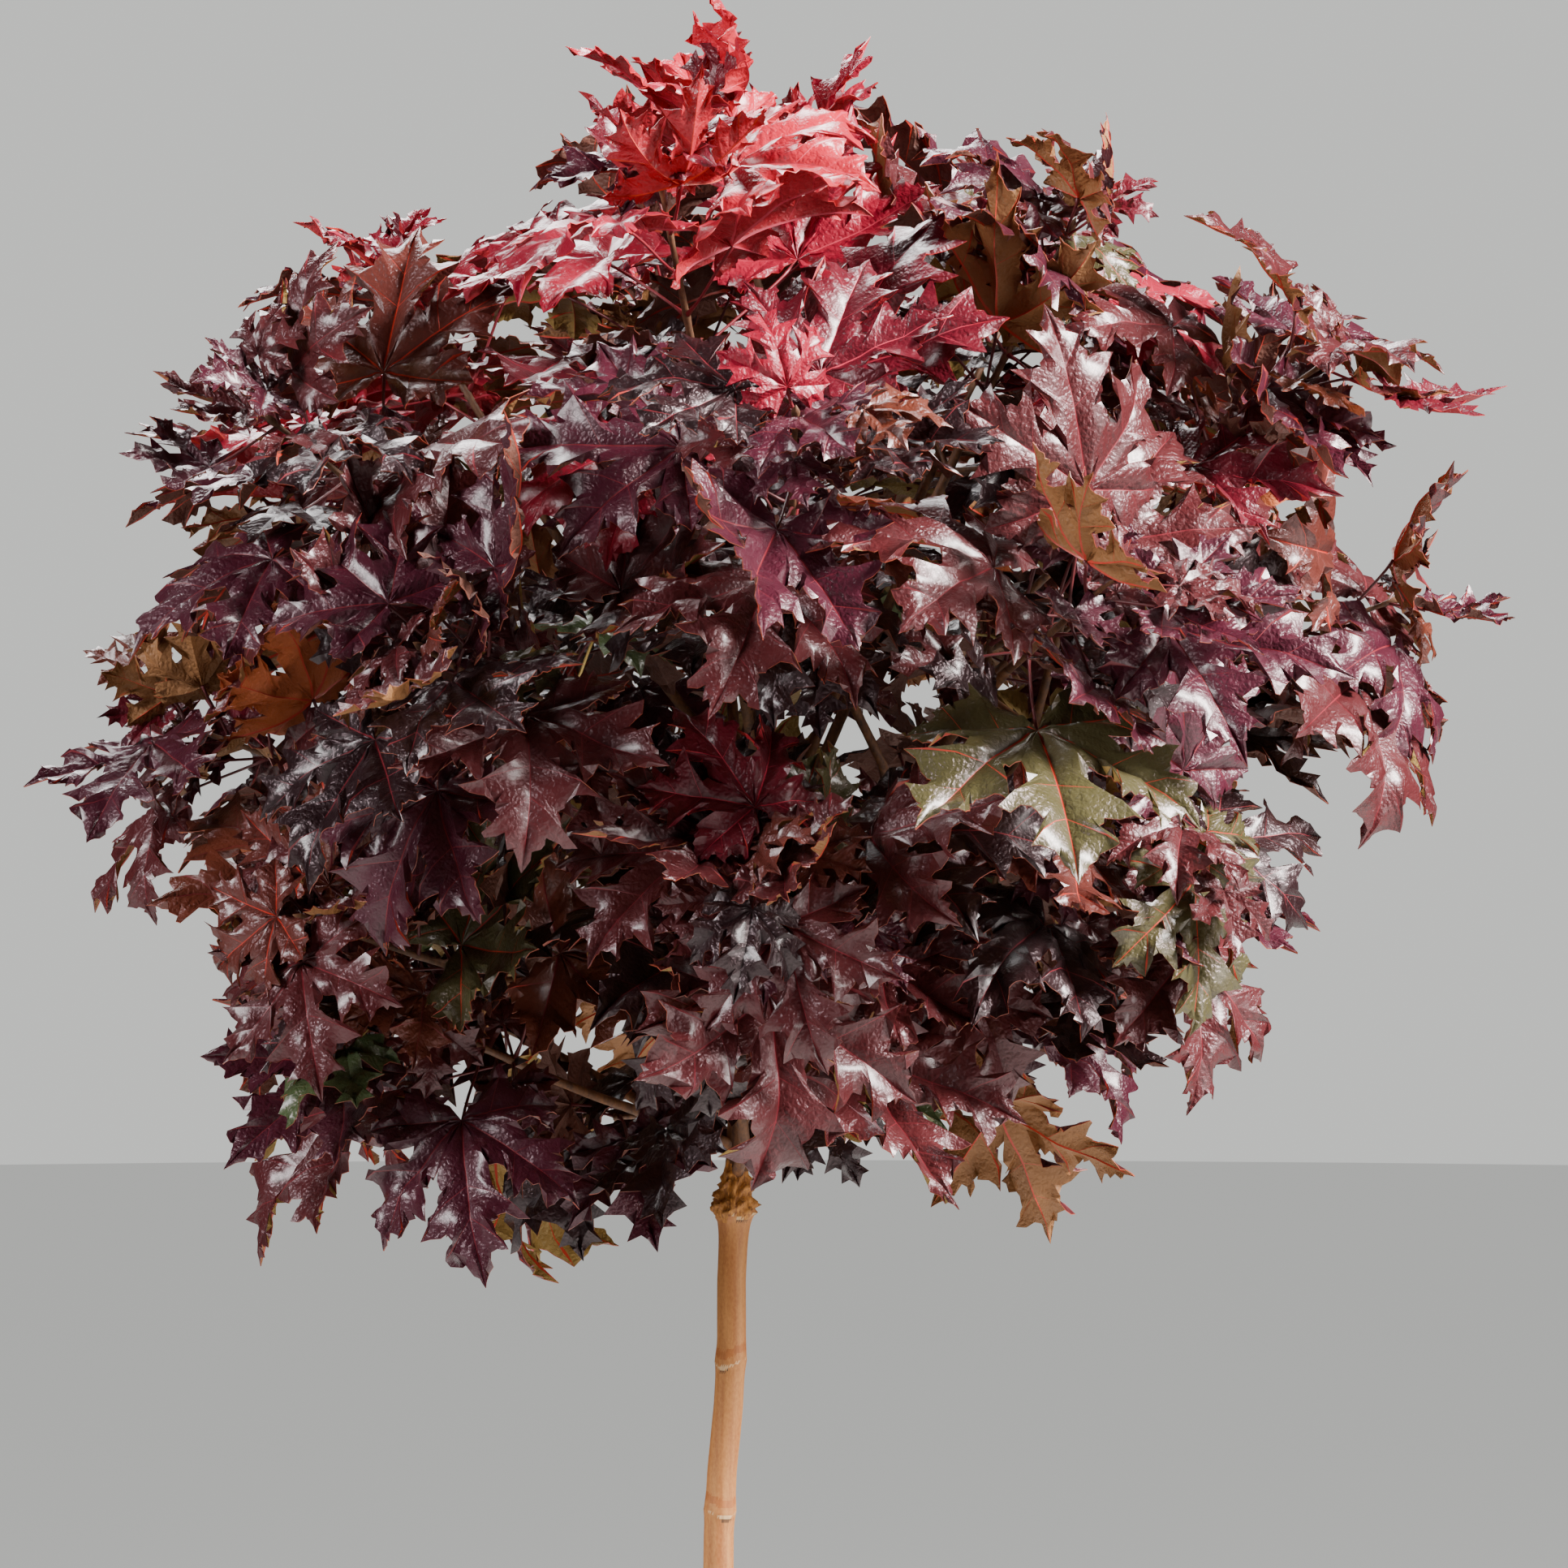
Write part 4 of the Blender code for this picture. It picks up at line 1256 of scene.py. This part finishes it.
def twig_part(start, end, past, steps, base, tip, nodes):
    """A straight twig that tapers, swells at each pair of leaves and ends past its tip in a pointed bud."""
    def radius(share):
        size = base + (tip - base) * share
        for node in nodes:
            size = size + NODE_SWELLING * np.exp(-(((share - node) / 0.02) ** 2))
        round_bud = np.sin(np.clip((share - BUD_FROM) / 0.07, 0, 1) * math.pi) ** 0.7
        bud = np.where(share > BUD_FROM, BUD_RADIUS * round_bud, 0)
        return size * np.where(share > BUD_FROM, 1 - (share - BUD_FROM) / 0.08, 1) + bud

    line = [start.lerp(end, past * i / steps) for i in range(steps + 1)]
    faces = twig_tube["faces"]
    return follow(twig_tube, line, radius), faces, np.full(len(faces), len(STALK_SHADES))


def stalk_part(leaf):
    """The stalk of a leaf in the colour that goes with its suit."""
    slots = np.full(len(stalk_tube["faces"]), list(STALK_SHADES).index(leaf["stalk_colour"]))
    return follow(stalk_tube, stalk_curve(leaf), stalk_radius), stalk_tube["faces"], slots


shoot_nodes = [LAST_NODE * (pair + 1) / LEAF_PAIRS / PAST_TIP for pair in range(LEAF_PAIRS)]
stalk_materials = [leaf_materials[name] for name in STALK_SHADES] + [barks[SHOOT]]
for tier in TIERS:
    parts = [stalk_part(leaf) for leaf in leaves + inner + small if in_tier(leaf["shoot"], tier)]
    for shoot in all_shoots:
        if in_tier(shoot, tier):
            ends = shoot["foot"], shoot["tip"]
            parts.append(twig_part(*ends, PAST_TIP, 8, SHOOT_RADIUS, SHOOT_TIP_RADIUS, shoot_nodes))
    for node, tip, shoot in spurs:
        if in_tier(shoot, tier):
            parts.append(twig_part(node, tip, SPUR_PAST_TIP, 4, SPUR_RADIUS * 1.3, SPUR_RADIUS, [0.9]))
    piece = mesh_piece(f"twigs_{tier}", *joined(parts), stalk_materials)
    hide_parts(*foliage_of(tier))

# %% [markdown]
# ## The bark of the trunk
# A young maple's stem is smooth and tan. Where an old leaf pair stood, a low collar rings it and dips to a
# pale scar on each side with a dark groove below, and these fade towards the ground, where the bark darkens
# in streaks. The graft is a crumbly burr. Bark could be bump alone, but it would leave the outline
# straight. So a fine tube follows the line of the solid, and its radius carries the relief.

# %% Relief of the bark
COLLAR_DIP = 0.0040
COLLAR_HEIGHT = 0.00045
COLLAR_WIDTH = 0.0012
SCAR_SIZE = 0.0032
GROOVE_DEPTH = 0.0006
GROOVE_WIDTH = 0.0008
GROOVE_BELOW = 0.0020
SCARS_FADE_FROM = 0.65
SCARS_FADE_TO = 0.20
TRUNK_GRAIN = 0.00016
# The scales of the grain's noise across and along the stem.
GRAIN_STREAKS = (420, 26)
GRAIN_PORES = (1500, 700)
BURR_LUMPS = 260
BURR_CRUMBS = 700
BURR_RISE = 2.4
BURR_SINK = 0.35
BURR_HEIGHT = 0.0030
BURR_MIDDLE = 0.004
BURR_SPREAD = 0.012
# The scars of one pair and of the next look towards these bearings, in degrees.
SCAR_TURNS = (-118, -62)
SCARS = range(1, int(GRAFT_HEIGHT / SCAR_SPACING) + 1)


def stem_noise(place, across, along):
    """Smooth noise at a place, with one scale across the stem and one along it."""
    x, y, z = place
    return noise.noise(Vector((x * across, y * across, z * along)))


def bark_relief(places):
    """Small bumps of bark at each place: long streaks with fine pores over them."""
    return np.array([0.6 * stem_noise(p, *GRAIN_STREAKS) + 0.25 * stem_noise(p, *GRAIN_PORES)
                     for p in places])


def burr_relief(places):
    """Crumbly lumps at the graft, with crumbs on them."""
    return np.array([abs(noise.noise(Vector(p) * BURR_LUMPS))
                     + 0.5 * abs(noise.noise(Vector(p) * BURR_CRUMBS)) for p in places])


def collar_place(places, number):
    """Where places lie round an old leaf pair: how high above its collar, and how far round from its scar."""
    scar_turn = math.radians(SCAR_TURNS[number % 2])
    across = places[:, 0] - np.interp(places[:, 2], [p.z for p in trunk], [p.x for p in trunk])
    turn = np.arctan2(places[:, 1], across)
    away = np.abs((turn - scar_turn + math.pi) % math.tau - math.pi)
    away = np.minimum(away, math.pi - away)
    above = places[:, 2] - number * SCAR_SPACING - SCAR_START + COLLAR_DIP * np.cos(away) ** 2
    return above, away * TRUNK_TOP_RADIUS


def plainness(number):
    """How plain an old leaf pair's scars still are. Those low on the stem have almost grown over."""
    height = SCAR_START + number * SCAR_SPACING
    return 0.1 + 0.9 * smooth_step((height - SCARS_FADE_TO) / (SCARS_FADE_FROM - SCARS_FADE_TO))


def collar_relief(places):
    """At each old leaf pair a low collar dips to a small raised scar, with a groove under it."""
    bumps = np.zeros(len(places))
    for number in SCARS:
        above, sideways = collar_place(places, number)
        near = np.exp(-((sideways / SCAR_SIZE) ** 2))
        collar = COLLAR_HEIGHT * np.exp(-((above / COLLAR_WIDTH) ** 2)) * (0.6 + near)
        groove = GROOVE_DEPTH * np.exp(-(((above + GROOVE_BELOW) / GROOVE_WIDTH) ** 2)) * near
        bumps += (collar - groove) * plainness(number)
    return bumps


def trunk_relief(places):
    """Fine grain all along the trunk, with the burr and the collars."""
    near = np.exp(-(((places[:, 2] - GRAFT_HEIGHT - BURR_MIDDLE) / BURR_SPREAD) ** 4))
    lumps = BURR_HEIGHT * near * (burr_relief(places) * BURR_RISE - BURR_SINK)
    return bark_relief(places) * TRUNK_GRAIN + (lumps + collar_relief(places))


print(len(SCARS), "old leaf pairs up the trunk")

# %% Slots of the bark
BAND_FROM = 0.0050
BAND_TO = 0.0095
OLD_BARK_HEIGHT = 0.30
OLD_BARK_STREAKS = (180, 16)
BURR_BELOW = 0.009
BURR_ABOVE = 0.018
WANDER = 0.008
WANDER_SCALE = 120
COLLAR_WANDER = 0.06


def trunk_slot(middles):
    """Tan bark below the graft, darker in streaks towards the ground, burr round it and dark bark above."""
    wander = np.array([noise.noise(Vector(p) * WANDER_SCALE) * WANDER for p in middles])
    streaks = np.array([stem_noise(p, *OLD_BARK_STREAKS) for p in middles])
    z = middles[:, 2] + wander
    above_burr = np.where(z < GRAFT_HEIGHT + BURR_ABOVE, BURR, DARK)
    slots = np.where(z < GRAFT_HEIGHT - BURR_BELOW, TAN, above_burr)
    bare = slots == TAN
    slots[bare & (streaks > z / OLD_BARK_HEIGHT - 0.5)] = BAND
    for number in SCARS:
        plain = plainness(number)
        above, sideways = collar_place(middles, number)
        above = above + wander * COLLAR_WANDER
        near = np.exp(-((sideways / SCAR_SIZE) ** 2))
        ridge = np.abs(above) < COLLAR_WIDTH * (0.3 + 0.8 * near) * plain
        groove = (np.abs(above + GROOVE_BELOW) < GROOVE_WIDTH * 0.8 * plain) & (sideways < SCAR_SIZE)
        band = (above > BAND_FROM) & (above < BAND_FROM + (BAND_TO - BAND_FROM) * plain)
        for place, slot in ((band, BAND), (groove, GROOVE), (ridge, SCAR)):
            slots[bare & place] = slot
    return slots


print("bark darkens below", OLD_BARK_HEIGHT, "m")

# %% [markdown]
# ## Trunk and boughs
# Trunk and boughs are one kind of wood, so they join into one piece. The trunk's tube has many rings,
# because its collars are about a millimetre wide. Boughs mostly hide behind leaves and need far fewer.

# %% Trunk and boughs
TRUNK_TUBE = dict(sides=48, rings=700)
TRUNK_STEPS = 400
BOUGH_TUBE = dict(sides=12, rings=60)
BOUGH_STEPS = 24
BOUGH_GRAIN = 0.0003


def bough_relief(places):
    """Fine grain all along a bough."""
    return bark_relief(places) * BOUGH_GRAIN


def bough_slot(middles):
    """Dark bark all along a bough."""
    return np.full(len(middles), DARK)


def limb_part(tube, line, radii, relief_of, slot_of):
    """A limb's tube with its bark relief, and the slot of each of its faces."""
    lengths = np.concatenate([[0], np.cumsum([(b - a).length for a, b in zip(line, line[1:])])])
    shares = lengths / lengths[-1]

    def bare(share):
        return np.interp(share, shares, radii)

    bumps = relief_of(follow(tube, line, bare))

    def rough(share):
        return bare(share) + bumps * (share > 0) * (share < 1)

    places = follow(tube, line, rough)
    return places, tube["faces"], slot_of(places[tube["faces"]].mean(1))


def even_line(values, steps):
    """A list of points or radii laid out again in even steps."""
    return [between(values, i / steps) for i in range(steps + 1)]


trunk_tube = rolled_tube(**TRUNK_TUBE)
bough_tube = rolled_tube(**BOUGH_TUBE)
fine_line = even_line(trunk, TRUNK_STEPS)
fine_radii = [trunk_radius(p.z) for p in fine_line]
limb_parts = [limb_part(trunk_tube, fine_line, fine_radii, trunk_relief, trunk_slot)]
for line, radii in boughs.values():
    bough_line = even_line(line, BOUGH_STEPS)
    bough_radii = even_line(radii, BOUGH_STEPS)
    limb_parts.append(limb_part(bough_tube, bough_line, bough_radii, bough_relief, bough_slot))
piece = mesh_piece("limbs", *joined(limb_parts), barks[:SHOOT])
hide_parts("trunk", *(f"bough_{name}" for name in boughs))

# %% [markdown]
# ## Floor and light
# The tree stands on a plain pale floor. It is painted greyer than it looks, and the camera sees it partly
# lit from within, so that it stays pale without throwing light up into the crown. The world does the same.

# %% Floor and world
PALE = shade(232, 233, 230)
PALE_STRENGTH = 0.9
FLOOR_GLOW_SHARE = 0.68

floor_shape = bmesh.new()
bmesh.ops.create_circle(floor_shape, cap_ends=True, segments=96, radius=14)
floor_mesh = bpy.data.meshes.new("floor")
floor_shape.to_mesh(floor_mesh)
floor_shape.free()
floor = bpy.data.objects.new("floor", floor_mesh)
floor_material = bpy.data.materials.new("pale_floor")
floor_material.use_nodes = True
tree = floor_material.node_tree
paint = tree.nodes["Principled BSDF"]
paint.inputs["Base Color"].default_value = shade(178, 178, 175)
paint.inputs["Roughness"].default_value = 0.8
glow = add_node(tree, "Emission", {"Color": PALE, "Strength": PALE_STRENGTH})
camera_ray = add_node(tree, "LightPath").outputs["Is Camera Ray"]
share = add_node(tree, "Math", {0: camera_ray, 1: FLOOR_GLOW_SHARE}, operation="MULTIPLY")
mix = add_node(tree, "MixShader", {"Fac": share.outputs[0], 1: paint.outputs[0], 2: glow.outputs[0]})
tree.links.new(mix.outputs["Shader"], tree.nodes["Material Output"].inputs["Surface"])
floor_mesh.materials.append(floor_material)
bpy.context.scene.collection.objects.link(floor)

world = bpy.data.worlds.new("studio")
world.use_nodes = True
tree = world.node_tree
lit = tree.nodes["Background"]
lit.inputs["Color"].default_value = shade(226, 228, 230)
lit.inputs["Strength"].default_value = 0.015
seen = add_node(tree, "Background", {"Color": PALE, "Strength": PALE_STRENGTH})
camera_ray = add_node(tree, "LightPath").outputs["Is Camera Ray"]
mix = add_node(tree, "MixShader", {"Fac": camera_ray, 1: lit.outputs[0], 2: seen.outputs[0]})
tree.links.new(mix.outputs["Shader"], tree.nodes["World Output"].inputs["Surface"])
bpy.context.scene.world = world
print("a pale floor and world")

# %% [markdown]
# ## Lights
# The photo's light comes from high on the right and gives the leaves their sheen. A large soft lamp stands
# there. A weaker one fills in from the left, one low on the right lifts the undersides, and one behind rims
# the crown. The crown's heart is left dark.

# %% Lights
WARM = (1.0, 0.96, 0.92)


def soft_light(name, place, size, power, colour=(1, 1, 1)):
    """A square lamp that looks at the crown."""
    data = bpy.data.lights.new(name, "AREA")
    data.size, data.energy, data.color = size, power, colour
    lamp = bpy.data.objects.new(name, data)
    lamp.location = place
    lamp.rotation_euler = (CROWN_HEART - Vector(place)).to_track_quat("-Z", "Y").to_euler()
    bpy.context.scene.collection.objects.link(lamp)


soft_light("key", (2.4, -1.0, 3.0), 0.9, 470, WARM)
soft_light("fill", (-2.6, -1.6, 2.4), 1.0, 105, (1.0, 0.98, 0.98))
soft_light("low", (2.9, -1.8, 1.2), 1.2, 38, WARM)
soft_light("back", (-0.5, 1.6, 3.3), 1.4, 110)
print(len(bpy.data.lights), "lights in the file")
